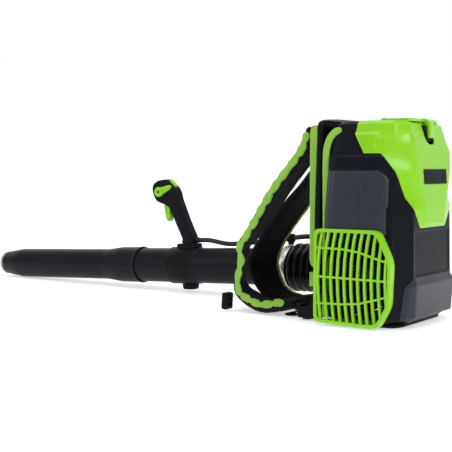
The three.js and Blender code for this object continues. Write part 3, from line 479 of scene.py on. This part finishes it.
def arch_distance(x, z, shape):
    """Signed distance to an arch that is open at its front and bottom, below zero inside."""
    dx, dz = x - (shape["rear"] - shape["radius"]), z - (shape["top"] - shape["radius"])
    if dx > 0 and dz > 0:
        return math.hypot(dx, dz) - shape["radius"]
    return max(dx, dz) - shape["radius"]


def in_hood(x, y, z):
    if z > HOOD_SIDE[0][1]:
        return x > float(np.interp(z, [p[1] for p in HOOD_SIDE], [p[0] for p in HOOD_SIDE]))
    return x > 60 and z > TONGUE[0][0] and abs(y) < tongue_edge(z)


def in_recess(y, z):
    """The U-shaped recess: a half width for each height."""
    heights = [p[1] for p in RECESS[4:]]
    return z > heights[0] and abs(y) < float(np.interp(z, heights, [p[0] for p in RECESS[4:]]))


def side_share(normal):
    return soft_step(abs(normal.y), 0.62, 0.8)


def housing_relief(x, y, z, normal):
    rise = 0.0
    share = side_share(normal)
    if share > 0 and x > -66:
        rise += share * ARCH["rise"] * (1 - soft_step(arch_distance(x, z, ARCH), -3.0, 0.0))
        rise -= share * (ARCH["rise"] + 0.6) * (1 - soft_step(arch_distance(x, z, PANEL), -1.5, 1.0))
    if normal.x > 0.9:
        depth = REAR_FIELD["depth"] * soft_step(z, *REAR_FIELD["foot"])
        depth *= 1 - soft_step(z, *REAR_FIELD["head"])
        rise -= depth * (1 - soft_step(abs(y), *REAR_FIELD["side"]))
    return rise


def surface_x(y, z):
    """Where the body's rear surface lies at a distance from the middle."""
    corner = rear_corner(z)
    return float(np.interp(abs(y), [p[1] for p in corner], [p[0] for p in corner]))


def hood_relief(x, y, z, normal, rise=1.3):
    """The hood stands proud of the body. Its tongue has a flat middle and sloping flanks."""
    plain = Vector((normal.x, normal.y, 0))
    plain = plain.normalized() * rise if plain.length > 0.35 else normal * rise
    if abs(normal.y) > 0.7:
        ledge = HOOD_LEDGE["depth"] * soft_step(z, *HOOD_LEDGE["grows"])
        ledge *= 1 - soft_step(z, *HOOD_LEDGE["ends"])
        ledge *= 1 - soft_step(x, *HOOD_LEDGE["fades"])
        plain += Vector((0, math.copysign(ledge, y), 0))
    if x < 55:
        return plain
    _, rear, _ = body_level(z)
    edge = tongue_edge(z)
    if abs(y) > edge:
        return plain
    crease = float(np.interp(z, [p[0] for p in TONGUE_CREASE], [p[1] for p in TONGUE_CREASE]))
    edge_x = surface_x(edge, z) + rise
    face_x = rear + rise + TONGUE_RISE * min(1.0, max(0.0, (z - TONGUE[0][0]) / 10))
    share = min(1.0, max(0.0, (edge - abs(y)) / max(1.0, edge - crease)))
    wanted = Vector((edge_x + (face_x - edge_x) * share - x, 0, 0))
    return wanted.lerp(plain, soft_step(z, 376, 440))


def cut(work, point, normal, clear_outer=False):
    bmesh.ops.bisect_plane(
        work, geom=work.verts[:] + work.edges[:] + work.faces[:], dist=0.01 * MM,
        plane_co=Vector(point) * MM, plane_no=Vector(normal), clear_outer=clear_outer,
    )


def cut_outline(work, outline, axis):
    """Cuts along each side of an outline that is drawn in (x, z) or, for axis x, in (y, z)."""
    for (a0, z0), (a1, z1) in zip(outline, outline[1:]):
        along = Vector((a1 - a0, z1 - z0))
        if axis == "x":
            cut(work, (0, a0, z0), (0, along.y, -along.x))
        else:
            cut(work, (a0, 0, z0), (along.y, 0, -along.x))


def shell_piece(name, work, wanted, relief, thickness, edge=1.0):
    """Keeps the wanted faces, moves them by the relief and gives them a wall."""
    work.normal_update()
    gone = [face for face in work.faces if not wanted(*(face.calc_center_median() / MM))]
    dropped = set(gone)
    moves = {}
    for vertex in work.verts:
        if all(face in dropped for face in vertex.link_faces):
            continue
        p = vertex.co / MM
        flat = Vector((vertex.normal.x, vertex.normal.y, 0))
        direction = flat.normalized() if flat.length > 0.35 else vertex.normal.copy()
        move = relief(p.x, p.y, p.z, vertex.normal)
        moves[vertex] = (move if isinstance(move, Vector) else direction * move) * MM
    bmesh.ops.delete(work, geom=gone, context="FACES")
    for vertex in work.verts:
        vertex.co += moves[vertex]
    mesh = bpy.data.meshes.new(name)
    work.to_mesh(mesh)
    work.free()
    piece = new_object(name, mesh)
    thick = piece.modifiers.new("wall", "SOLIDIFY")
    thick.thickness = thickness * MM
    thick.offset = -1
    apply_modifiers(piece)
    bevel(piece, edge, 2, 55)
    return smooth(piece, 24)


def housings():
    for name, low, high in (("housing_front", -200, SEAM_X - GAP), ("housing_rear", SEAM_X + GAP, 200)):
        work = body_work(lambda x, y, z: low - 12 < x < high + 12)
        for x in (SEAM_X - GAP, SEAM_X + GAP, 28):
            cut(work, (x, 0, 0), (1, 0, 0))
        for z in HOUSING_TOPS:
            cut(work, (0, 0, z), (0, 0, 1))
        cut_outline(work, HOOD_SIDE, "y")
        if high > 100:
            for sign in (-1, 1):
                cut_outline(work, [(sign * half, z) for z, half in TONGUE], "x")

        def wanted(x, y, z):
            if not low < x < high or in_hood(x, y, z + 0.2):
                return False
            if x < OUTLET["front"] and y > OUTLET["side"] and z < OUTLET["top"]:
                return False
            intake_x, intake_z = INTAKE["middle"]
            return math.hypot(x - intake_x, z - intake_z) > INTAKE["radius"] or y > INTAKE["side"]

        piece = shell_piece(name + "_shell", work, wanted, housing_relief, 2.6, 0.7)
        stands_for(piece, name)


def hood():
    lid_front, lid_rear = LID_OPENING["ends"]
    lid_half = LID_OPENING["half"]
    work = body_work(lambda x, y, z: x > -12 and z > 205, top=True)
    for z in (HOOD_FOOT, HOOD_CREASE, HOOD_SIDE_FOOT):
        cut(work, (0, 0, z), (0, 0, 1))
    cut_outline(work, [(x + 0.6, z) for x, z in HOOD_SIDE], "y")
    for sign in (-1, 1):
        cut_outline(work, [(sign * (half - 0.5), z) for z, half in TONGUE], "x")
        cut_outline(work, [(sign * half, z) for z, half in TONGUE_CREASE], "x")
    cut_outline(work, RECESS, "x")

    def wanted(x, y, z):
        if lid_front < x < lid_rear and abs(y) < lid_half and z > LID_OPENING["above"]:
            return False
        if x > 80 and in_recess(y, z) and z < RECESS_TOP:
            return False
        if z > HOOD_SIDE[0][1]:
            return z > HOOD_SIDE_FOOT and in_hood(x - 0.6, y, z)
        return x > 60 and z > HOOD_FOOT and abs(y) < tongue_edge(z) - 0.5

    for x in (lid_front, lid_rear):
        cut(work, (x, 0, 0), (1, 0, 0))
    for y in (-lid_half, lid_half):
        cut(work, (0, y, 0), (0, 1, 0))
    cut(work, (0, 0, RECESS_TOP), (0, 0, 1))
    stands_for(shell_piece("hood_shell", work, wanted, hood_relief, 3.0, 1.0), "hood")


def side_panels():
    for side, sign in (("left", -1), ("right", 1)):
        work = body_work(lambda x, y, z: y * sign > 110 and z > PANEL["bottom"] - 12)
        for x in (24.6, PANEL_GROOVE_X, 26.2, PANEL["front"]):
            cut(work, (x, 0, 0), (1, 0, 0))
        shape = dict(PANEL, rear=PANEL["rear"] - 1.6, top=PANEL["top"] - 1.6)

        def wanted(x, y, z):
            inside = y * sign > 120 and x > PANEL["front"] and z > PANEL["bottom"]
            return inside and arch_distance(x, z, shape) < 0

        def relief(x, y, z, normal):
            groove = 1.2 * (1 - soft_step(abs(x - PANEL_GROOVE_X), 0.2, 0.9))
            edge = arch_distance(x, z, shape)
            return 1.9 - groove - 1.2 * soft_step(edge, -5, 0)

        piece = shell_piece(f"side_panel_{side}_skin", work, wanted, relief, 1.6, 0.5)
        stands_for(piece, f"side_panel_{side}")


def rear_lower_panel():
    low, high = LOWER_PANEL[0][1], LOWER_PANEL[-1][1]
    slope = 17
    work = body_work(lambda x, y, z: x > 55 and z < 125)
    for sign in (-1, 1):
        cut_outline(work, [(half * sign, z) for half, z in reversed(LOWER_PANEL)], "x")
    for z in (low, high - slope, high):
        cut(work, (0, 0, z), (0, 0, 1))

    def half_at(z):
        return float(np.interp(z, [p[1] for p in LOWER_PANEL], [p[0] for p in LOWER_PANEL]))

    def wanted(x, y, z):
        return x > 60 and low < z < high and abs(y) < half_at(z)

    def relief(x, y, z, normal):
        side = min(1.0, max(0.0, (half_at(z) - abs(y)) / 10))
        return 1.0 + 8.5 * min(1.0, (high - z) / slope) * side * min(1.0, (z - 14) / 8)

    stands_for(shell_piece("rear_lower_panel_skin", work, wanted, relief, 2.0, 0.8), "rear_lower_panel")


def badge():
    work = body_work(lambda x, y, z: x > 55 and 300 < z < 360)
    for y in (-BADGE["half"], BADGE["half"]):
        cut(work, (0, y, 0), (0, 1, 0))
    for z in (BADGE["low"], BADGE["high"]):
        cut(work, (0, 0, z), (0, 0, 1))

    def wanted(x, y, z):
        return x > 60 and abs(y) < BADGE["half"] and BADGE["low"] < z < BADGE["high"]

    def relief(x, y, z, normal):
        return hood_relief(x, y, z, normal, 2.9)

    stands_for(shell_piece("badge_plate_skin", work, wanted, relief, 1.4, 0.6), "badge_plate")


housings()
hood()
side_panels()
rear_lower_panel()
badge()

REFINED = {
    "latch_catch": 0.6, "battery_lid": 1.0, "lid_latch": 1.2, "intake_grille": 1.1, "base_tray": 1.0,
    "left_adjuster": 0.8, "right_adjuster": 0.8, "chest_buckle": 1.4,
    "outlet_elbow": 0.8, "rear_hose_clamp": 0.5, "front_hose_clamp": 0.5, "cable_clip": 0.8,
    "handle_clamp_block": 1.2, "handle_base": 1.2, "trigger": 1.6, "thumb_button": 1.6, "cruise_lever": 1.3,
    "cable_gland": 0.6, "front_left_foot": 1.2, "front_right_foot": 1.2, "back_frame": 2.2,
}
for part, width in REFINED.items():
    refined(part, width)

# ---------------------------------------------------------------- blow tube

TUBE_ORIGIN = Vector((-348, 150, 88))
TUBE_SLOPE = math.asin(0.043122)
TUBE_FRAME = Matrix.Translation(TUBE_ORIGIN * MM) @ Matrix.Rotation(-TUBE_SLOPE, 4, "Y")


def along_tube(piece):
    """Moves a mesh made about the X axis onto the sloping tube."""
    piece.data.transform(TUBE_FRAME)
    piece.data.update()
    return piece


def turned_tube(name, corners, node, steps=128):
    """corners are (distance along the tube, radius, rounding) in millimetres."""
    profile = [(-p.x, p.y) for p in rounded_polygon(corners, 5, 1)]
    piece = along_tube(lathe(name, profile, steps))
    return stands_for(smooth(piece, 40), node)


def tubes():
    turned_tube("rear_tube_skin", [
        (-24, 48.5, 0.6), (1, 48.5, 0.6), (3, 50, 1.2), (282, 50, 0.6), (284.5, 51.6, 0.8), (290, 51.6, 0.8),
        (291.6, 49.6, 0.6), (292, 46, 0.4), (326, 46, 0.4), (326, 43.5, 0.4), (286, 43.5, 0.6), (280, 47, 1),
        (-24, 46, 0.4),
    ], "rear_tube")
    turned_tube("mid_tube_skin", [
        (292.6, 51.4, 1.2), (300.5, 52.6, 1.2), (304, 49.3, 1.2), (588, 49, 0.4), (588, 46.5, 0.4),
        (292.6, 46.6, 0.4),
    ], "mid_tube")
    turned_tube("nozzle_tube_skin", [
        (494, 52.8, 1.4), (499, 53.2, 1.2), (503, 52.0, 1.0), (572, 51.8, 30), (630, 45.2, 40), (996, 45, 30),
        (1065, 35.9, 0.6), (1065, 33.2, 0.4), (996, 42.4, 20), (630, 42.6, 20), (594, 49.5, 2),
        (494, 49.5, 0.4),
    ], "nozzle_tube")
    turned_tube("nozzle_ring_skin", [
        (1065.4, 36.1, 0.5), (1074, 35.6, 1.4), (1077, 33.6, 1.2), (1075, 31.9, 0.6), (1065.4, 32.4, 0.4),
    ], "nozzle_ring")


# ---------------------------------------------------------------- bellows hose

HOSE_Y = 150
HOSE_ENDS = ((-80, 96), (-346, 88))
HOSE_CUFF = 26
HOSE_RIDGES = 11
RIDGE_STEPS = 14
HOSE_SPLIT = 5


def hose_radius(phase):
    """Radius of the corrugated wall, with full round ridges and narrow valleys between them."""
    return 55.6 + 8.2 * (0.5 - 0.5 * math.cos(2 * math.pi * phase)) ** 0.62


def bellows():
    (rear, rear_z), (front, front_z) = HOSE_ENDS
    first, last = rear - HOSE_CUFF, front + HOSE_CUFF
    pitch = (last - first) / HOSE_RIDGES
    outer = [(rear, 54.6), (rear - 0.6, 55), (first + 1, 55)]
    split = None
    for i in range(HOSE_RIDGES):
        for k in range(RIDGE_STEPS):
            if i == HOSE_SPLIT and k == 0:
                split = len(outer)
            outer.append((first + pitch * (i + k / RIDGE_STEPS), hose_radius(k / RIDGE_STEPS)))
    outer += [(last, hose_radius(0)), (last - 1, 55), (front + 0.6, 55), (front, 54.6)]
    rise = (front_z - rear_z) / (front - rear)
    bends = (("fan_unit", "hose", -85, -205), ("hose", "hose_cuff", -205, -335))
    for name, part, (back, ahead, start, end) in (
        ("bellows_rear_half", outer[:split + 1], bends[0]), ("bellows_front_half", outer[split:], bends[1]),
    ):
        inner = [(x, r - 1.8) for x, r in reversed(part)]
        piece = lathe(name, part + inner, 112)
        for vertex in piece.data.vertices:
            x = vertex.co.x / MM
            vertex.co.z += (rear_z + rise * (x - rear)) * MM
            vertex.co.y += HOSE_Y * MM
        smooth(piece, 60)
        piece.data.materials.append(MATERIALS["rubber"])
        if name == "bellows_rear_half":
            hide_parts("bellows_hose")
        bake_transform(piece)


# ---------------------------------------------------------------- control cable

CABLE_RADIUS = 6.5
CABLE_OVERLAP = 1.5
CABLE_ROUTE = [
    (-639.2, 150, 147.3), (-600, 150, 148), (-540, 150, 141), (-480, 150, 146), (-420, 150, 153),
    (-364, 150, 161), (-330, 150, 166), (-290, 150, 171), (-230, 150, 172), (-160, 151, 173), (-105, 150, 176),
    (-73, 148, 178),
]


def spline(points, count):
    """Points at even steps along a smooth curve through the given points."""
    fixed = [Vector(p) for p in points]
    fixed = [fixed[0] * 2 - fixed[1]] + fixed + [fixed[-1] * 2 - fixed[-2]]
    dense = []
    for a, b, c, d in zip(fixed, fixed[1:], fixed[2:], fixed[3:]):
        for k in range(24):
            t = k / 24
            dense.append(0.5 * (b * 2 + (c - a) * t + (a * 2 - b * 5 + c * 4 - d) * t * t
                                + (b * 3 - a - c * 3 + d) * t ** 3))
    dense.append(fixed[-2])
    lengths = [0.0]
    for a, b in zip(dense, dense[1:]):
        lengths.append(lengths[-1] + (b - a).length)
    out = []
    for i in range(count + 1):
        want = lengths[-1] * i / count
        out.append(Vector([float(np.interp(want, lengths, [p[axis] for p in dense])) for axis in range(3)]))
    return out


def swept(name, path, sections, up=Vector((0, 1, 0))):
    """Joins a section, a list of (side, height), to each point of a path. Side runs along up."""
    points = []
    for i, here in enumerate(path):
        run = (path[min(i + 1, len(path) - 1)] - path[max(i - 1, 0)]).normalized()
        height = run.cross(up).normalized()
        side = height.cross(run).normalized()
        points += [here + side * a + height * b for a, b in sections[i]]
    return lofted(name, points, len(sections[0]))


def cable():
    line = spline(CABLE_ROUTE, 420)
    ring = [(math.cos(2 * math.pi * k / 20), math.sin(2 * math.pi * k / 20)) for k in range(20)]
    parts = (
        ("control_cable_front", -1000, -340, "hose_cuff", "blow_tube", -345, -620),
        ("control_cable_middle", -340, -205, "hose", "hose_cuff", -205, -335),
        ("control_cable_rear", -205, 0, "fan_unit", "hose", -75, -205),
    )
    for name, low, high, back, ahead, start, end in parts:
        chosen = [p for p in line if low - CABLE_OVERLAP < p.x < high + CABLE_OVERLAP]
        sections = [[(a * CABLE_RADIUS, b * CABLE_RADIUS) for a, b in ring] for _ in chosen]
        piece = smooth(swept(name, chosen, sections), 60)
        piece.data.materials.append(MATERIALS["rubber"])
        if name == "control_cable_front":
            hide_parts("control_cable")
        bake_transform(piece)


# ---------------------------------------------------------------- control handle

HANDLE_Y = 150
HANDLE_SEAM = 0.25
SEAM_BEVEL = (1.6, 0.35)


def joined_shells():
    copies = []
    for node in ("handle_left_shell", "handle_right_shell"):
        copies.append(new_object(node + "_copy", frame["nodes"][node].data.copy()))
    work = bmesh.new()
    for copied in copies:
        work.from_mesh(copied.data)
        bpy.data.objects.remove(copied)
    mesh = bpy.data.meshes.new("handle_whole")
    work.to_mesh(mesh)
    work.free()
    whole = new_object("handle_whole", mesh)
    remesh = whole.modifiers.new("remesh", "REMESH")
    remesh.mode = "VOXEL"
    remesh.voxel_size = 1.5 * MM
    even = whole.modifiers.new("even", "SMOOTH")
    even.factor = 0.5
    even.iterations = 10
    return apply_modifiers(whole)


def handle():
    whole = joined_shells()
    reach, depth = SEAM_BEVEL
    for node, side in (("handle_left_shell", -1), ("handle_right_shell", 1)):
        work = bmesh.new()
        work.from_mesh(whole.data)
        cut(work, (0, HANDLE_Y + side * HANDLE_SEAM, 0), (0, -side, 0), clear_outer=True)
        rim = [edge for edge in work.edges if edge.is_boundary]
        bmesh.ops.holes_fill(work, edges=rim, sides=0)
        for vertex in work.verts:
            away = abs(vertex.co.y / MM - HANDLE_Y)
            if away < reach:
                inwards = Vector((vertex.normal.x, 0, vertex.normal.z)) * depth
                vertex.co -= inwards * MM * (reach - away) / reach
        mesh = bpy.data.meshes.new(node + "_skin")
        work.to_mesh(mesh)
        work.free()
        piece = face_out(new_object(node + "_skin", mesh))
        stands_for(smooth(piece, 50), node)
    bpy.data.objects.remove(whole)


# ---------------------------------------------------------------- harness


def section(width, thick, round_share=0.42, steps=7):
    """A pillow section: flat faces and full round edges."""
    corner = min(thick, width) * round_share
    corners = [(-width / 2, -thick / 2, corner), (width / 2, -thick / 2, corner),
               (width / 2, thick / 2, corner), (-width / 2, thick / 2, corner)]
    return [(p.x, p.y) for p in rounded_polygon(corners, steps, [14, 3, 14, 3])]


TRIM_PATH = [
    (-67, 146, 14), (-67, 146, 120), (-67, 146, 250), (-69, 144, 370), (-64, 142, 408), (-50, 140, 428),
    (-34, 138, 434),
]


def edge_trim():
    for side, low in (("left", 14), ("right", 170)):
        sign = -1 if side == "left" else 1
        route = [(x, y * sign, z) for x, y, z in TRIM_PATH if z >= low]
        if side == "right":
            route = [(-67, 146, low)] + route
        path = spline(route, 150)
        points = []
        outline = section(16, 8, 0.48, 5)
        for i, here in enumerate(path):
            run = (path[min(i + 1, 150)] - path[max(i - 1, 0)]).normalized()
            outward = Vector((0, sign, 0))
            outward = (outward - run * outward.dot(run)).normalized()
            across = run.cross(outward).normalized()
            end = min(1.0, (min(i, 150 - i) + 0.6) / 4)
            points += [here + across * a * end ** 0.3 + outward * b * end ** 0.3 for a, b in outline]
        piece = lofted(f"edge_trim_{side}_band", points, len(outline))
        stands_for(smooth(piece, 60), "edge_trim", slot="green_mesh", replaced=side == "left")


LEFT_STRAP = [
    (-125.6, 438, 15, 0), (-132, 438, 16, 0), (-140, 422, 17, 0), (-160, 383, 18, 0), (-233, 297, 18, 0),
    (-304, 197, 18, -0.1), (-338, 160, 18, -0.3), (-339, 127, 18, -0.45), (-350, 72, 20, -0.42),
    (-336, 44, 24, -0.3), (-294, 23, 28, -0.15), (-258, 17, 29, -0.05), (-214, 24, 30, 0), (-176, 33, 24, 0),
]
RIGHT_STRAP = [
    (-125.6, 438, 15, 0), (-132, 438, 16, 0), (-140, 422, 17, 0), (-156, 380, 18, 0), (-203, 314, 18, 0.1),
    (-259, 253, 18, 0.2), (-322, 172, 18, 0.2), (-353, 112, 18, 0.36), (-340, 68, 18, 0.27),
    (-318, 38, 20, 0.15), (-284, 22, 22, 0), (-250, 18, 22, 0), (-212, 24, 22, 0), (-176, 33, 22, 0),
]
STRAP_STEPS = 230
GUSSET = 6
GUSSET_DEPTH = 15
EDGING = 6
SEAM_INSET = 14
SCALLOP = 37


def strap_frames(stations):
    """Middle, run, thickness, lean and length so far, at even steps along a strap."""
    keys = np.arange(len(stations))
    path = spline([(x, 0, z) for x, z, _, _ in stations], STRAP_STEPS)
    marks = spline([(float(k), x, z) for k, (x, z, _, _) in zip(keys, stations)], STRAP_STEPS * 4)
    mark_x, mark_z = np.array([m.y for m in marks]), np.array([m.z for m in marks])
    frames, travelled = [], 0.0
    for i, here in enumerate(path):
        run = (path[min(i + 1, STRAP_STEPS)] - path[max(i - 1, 0)]).normalized()
        station = marks[int(np.argmin((mark_x - here.x) ** 2 + (mark_z - here.z) ** 2))].x
        thick = float(np.interp(station, keys, [s[2] for s in stations]))
        lean = float(np.interp(station, keys, [s[3] for s in stations]))
        if i:
            travelled += (here - path[i - 1]).length
        frames.append((here, run, thick, lean, travelled))
    return frames


def strap_mesh(name, frames, y, span, depth, dip):
    """span is the pair of side offsets of the strip. depth gives its thickness and middle from the
    strap's own thickness, and dip the share of that by which a point sinks in."""
    points = []
    left, right = span
    total = frames[-1][4] - frames[0][4]
    for here, run, thick, lean, far in frames:
        from_start = far - frames[0][4]
        end = min(1.0, (min(from_start, total - from_start) + 1.2) / 10) ** 0.5
        deep, shift = depth(thick)
        outline = section(right - left, deep, 0.44, 7)
        for side, height in outline:
            offset = (left + right) / 2 + side
            height = height * end * (1 - dip(offset, height, far)) + shift
            x = here.x - run.z * height + offset * lean
            z = here.z + run.x * height
            points.append(Vector((x, y + offset, max(z, 0.8))))
    return lofted(name, points, len(outline))


def scalloped(offset, height, far):
    wave = 0.5 + 0.5 * math.cos(2 * math.pi * far / SCALLOP)
    ruffle = noise.noise(Vector((far * 0.11, offset * 0.05, height * 0.08)))
    return 0.42 * wave ** 3 - 0.12 + 0.3 * ruffle


def straps():
    for node, stations, y, width in (
        ("left_strap", LEFT_STRAP, -72, 86), ("right_strap", RIGHT_STRAP, 34, 86),
    ):
        frames = strap_frames(stations)
        half = width / 2
        near = node == "left_strap"

        def quilted(offset, height, far):
            seam = 0.22 * max(0.0, 1 - abs(abs(offset) - (half - SEAM_INSET)) / 3)
            pillow = 0.08 * (0.5 + 0.5 * math.cos(2 * math.pi * far / SCALLOP))
            ripple = 0.05 * noise.noise(Vector((far * 0.05, offset * 0.05, 0)))
            return seam + pillow * (height > 0) + ripple

        inset = half - 1.5
        core = strap_mesh(node + "_pad", frames, y, (-inset, inset), lambda thick: (thick - 1.0, 0), quilted)
        stands_for(smooth(core, 60), node, slot="black_fabric")
        low, high = (-half - 1, GUSSET - half) if near else (half - EDGING, half + 1)
        deepest = GUSSET_DEPTH if near else EDGING
        strip = strap_mesh(
            node + "_gusset", frames[5:-7], y, (low, high),
            lambda thick: (min(thick, deepest) + 2, (thick - min(thick, deepest)) / 2), scalloped,
        )
        stands_for(smooth(strip, 60), node, slot="green_mesh", replaced=False)


def puffed(name, node, pressure=4.0, cap=9.0, shrink=2.5):
    """A cushion blown up from its CAD shape by a short cloth simulation."""
    piece = new_object(name, frame["nodes"][node].data.copy())
    middle = sum((v.co for v in piece.data.vertices), Vector()) / len(piece.data.vertices)
    for vertex in piece.data.vertices:
        away = vertex.co - middle
        for axis in range(3):
            away[axis] -= math.copysign(min(abs(away[axis]), shrink * MM), away[axis])
        vertex.co = middle + away
    remesh = piece.modifiers.new("remesh", "REMESH")
    remesh.mode = "VOXEL"
    remesh.voxel_size = 5 * MM
    apply_modifiers(piece)
    start = [v.co.copy() for v in piece.data.vertices]
    cloth = piece.modifiers.new("cloth", "CLOTH")
    cloth.settings.quality = 5
    cloth.settings.mass = 0.3
    cloth.settings.use_pressure = True
    cloth.settings.uniform_pressure_force = pressure
    cloth.settings.tension_stiffness = 20
    cloth.settings.compression_stiffness = 20
    cloth.settings.bending_stiffness = 0.6
    cloth.settings.effector_weights.gravity = 0
    scene = bpy.context.scene
    for step in range(1, 21):
        scene.frame_set(step)
    apply_modifiers(piece)
    scene.frame_set(1)
    drift = sum((v.co - s for v, s in zip(piece.data.vertices, start)), Vector()) / len(start)
    for vertex, origin in zip(piece.data.vertices, start):
        moved = vertex.co - origin - drift
        if moved.length > cap * MM:
            moved = moved.normalized() * cap * MM
        vertex.co = origin + moved
    piece.modifiers.new("finer", "SUBSURF").levels = 1
    return apply_modifiers(piece)


# The face of the back frame that the cushions rest on.
FRAME_FACE = -104.2
PAD_GROOVE = 3.2


def pads():
    for node, quilt in (("back_pad", 62), ("lumbar_pad", 0)):
        piece = puffed(node + "_cushion", node)
        box_low, box_high = node_box(node)
        middle_y = (box_low.y + box_high.y) / 2
        for vertex in piece.data.vertices:
            p = vertex.co / MM
            if vertex.normal.x < -0.3:
                groove = 0.0
                if quilt:
                    for line in (-quilt * 0.5, quilt * 0.5):
                        groove = max(groove, 1 - abs(p.y - line - middle_y / MM) / 4)
                    for line in range(180, 440, 86):
                        groove = max(groove, 1 - abs(p.z - line) / 4)
                vertex.co.x += PAD_GROOVE * MM * max(0.0, groove)
            vertex.co.x = min(vertex.co.x, FRAME_FACE * MM)
        stands_for(smooth(piece, 70), node, slot="black_fabric")
    for name, low, high in (("back_pad_gusset", 124, 446), ("lumbar_pad_gusset", 78, 112)):
        path = [Vector((-112, -119.5, z)) for z in np.linspace(low, high, 60)]
        outline = section(9, 23, 0.45, 5)
        sections = []
        for i in range(60):
            end = min(1.0, (min(i, 59 - i) + 0.5) / 3) ** 0.4
            sections.append([(a * end, b * end) for a, b in outline])
        strip = swept(name, path, sections)
        stands_for(smooth(strip, 60), name.replace("_gusset", ""), slot="green_mesh", replaced=False)


def node_box(node):
    corners = [Vector(c) for c in frame["nodes"][node].bound_box]
    low = Vector([min(c[a] for c in corners) for a in range(3)])
    high = Vector([max(c[a] for c in corners) for a in range(3)])
    return low, high


WEBBING_ROUTE = [
    (-150.6, 9), (-158, 7), (-170, 4), (-184, 2.4), (-197, 2.2), (-203, 4.6), (-197, 7.2), (-186, 7),
]


def webbings():
    for node, y in (("left_webbing", -80), ("right_webbing", 47)):
        path = spline([(x, y, z) for x, z in WEBBING_ROUTE], 90)
        outline = section(38, 2.0, 0.4, 3)
        piece = swept(node + "_tape", path, [outline] * len(path))
        stands_for(smooth(piece, 60), node, slot="black_fabric")


def top_cap():
    """The black cap over the harness bar: rounded at its front, with its top falling towards the hood."""
    rows = []
    half = 118
    for y in np.linspace(-half, half, 60):
        inset = 1 - (abs(y) / half) ** 6
        rear = -13 - 6 * (1 - inset)
        drop = 5 * (1 - inset)
        front = -109 + 10 * (1 - inset)
        corners = [
            (front, 424, 2), (front, 452, 10), (front + 12, 461 - drop, 9), (-76, 461 - drop, 10),
            (rear, 453.4 - drop, 2), (rear, 447 - drop, 1), (-100, 447 - drop, 2), (-100, 424, 1),
        ]
        rows.append([Vector((p.x, y, p.y)) for p in rounded_polygon(corners, 5, 3)])
    piece = lofted("top_cap_skin", [p for row in rows for p in row], len(rows[0]))
    bevel(piece, 2.0, 3, 50)
    stands_for(smooth(piece, 40), "top_cap")


top_cap()
tubes()
bellows()
cable()
handle()
edge_trim()
straps()
pads()
webbings()

# ---------------------------------------------------------------- floor, light and camera


def backdrop():
    """A pale floor that curves up behind the object without a visible join."""
    half, depth, radius, height = 14.0, 7.0, 3.0, 9.0
    profile = [(-depth, 0.0)] + [
        (depth - radius + radius * math.sin(t), radius - radius * math.cos(t))
        for t in np.linspace(0, math.pi / 2, 25)
    ] + [(depth, height)]
    turn = Matrix.Rotation(math.radians(CAMERA["azimuth"]), 4, "Z")
    points, faces = [], []
    for side in (-half, half):
        points += [turn @ Vector((side, y, z)) for y, z in profile]
    count = len(profile)
    for i in range(count - 1):
        faces.append((i, count + i, count + i + 1, i + 1))
    mesh = bpy.data.meshes.new("floor")
    mesh.from_pydata(points, [], faces)
    floor = new_object("floor", mesh)
    look = Look("pale_floor", (0.86, 0.865, 0.87), 0.5)
    look.vary_roughness(look.noise(2.0), 0.04)
    look.shader.inputs["Emission Color"].default_value = (1, 1, 1, 1)
    look.shader.inputs["Emission Strength"].default_value = 0.5
    floor.data.materials.append(look.material)
    for polygon in mesh.polygons:
        polygon.use_smooth = True
    floor.location.z = -0.0006


def area_light(name, place, target, size, power):
    data = bpy.data.lights.new(name, "AREA")
    data.shape = "RECTANGLE"
    data.size, data.size_y = size
    data.energy = power
    lamp = new_object(name, data)
    lamp.location = place
    lamp.rotation_euler = (Vector(target) - Vector(place)).to_track_quat("-Z", "Y").to_euler()


def studio():
    world = bpy.data.worlds.new("studio")
    world.use_nodes = True
    world.node_tree.nodes["Background"].inputs["Color"].default_value = (1, 1, 1, 1)
    world.node_tree.nodes["Background"].inputs["Strength"].default_value = 0.34
    bpy.context.scene.world = world
    middle = (-0.3, 0, 0.25)
    area_light("top_light", (-0.4, -0.3, 3.2), middle, (3.0, 3.0), 56)
    area_light("left_light", (-2.4, -2.2, 1.6), middle, (1.2, 2.2), 16)
    area_light("right_light", (2.6, -0.9, 1.7), middle, (1.0, 2.0), 44)
    bpy.context.scene.view_settings.view_transform = "Standard"


def photo_camera():
    data = bpy.data.cameras.new("camera")
    data.lens = CAMERA["lens"]
    data.sensor_width = 36.0
    data.clip_start = 0.05
    camera = new_object("camera", data)
    camera.location = CAMERA["place"]
    camera.rotation_euler = (math.radians(90 + CAMERA["pitch"]), 0, math.radians(CAMERA["azimuth"]))
    bpy.context.scene.camera = camera


backdrop()
studio()
photo_camera()
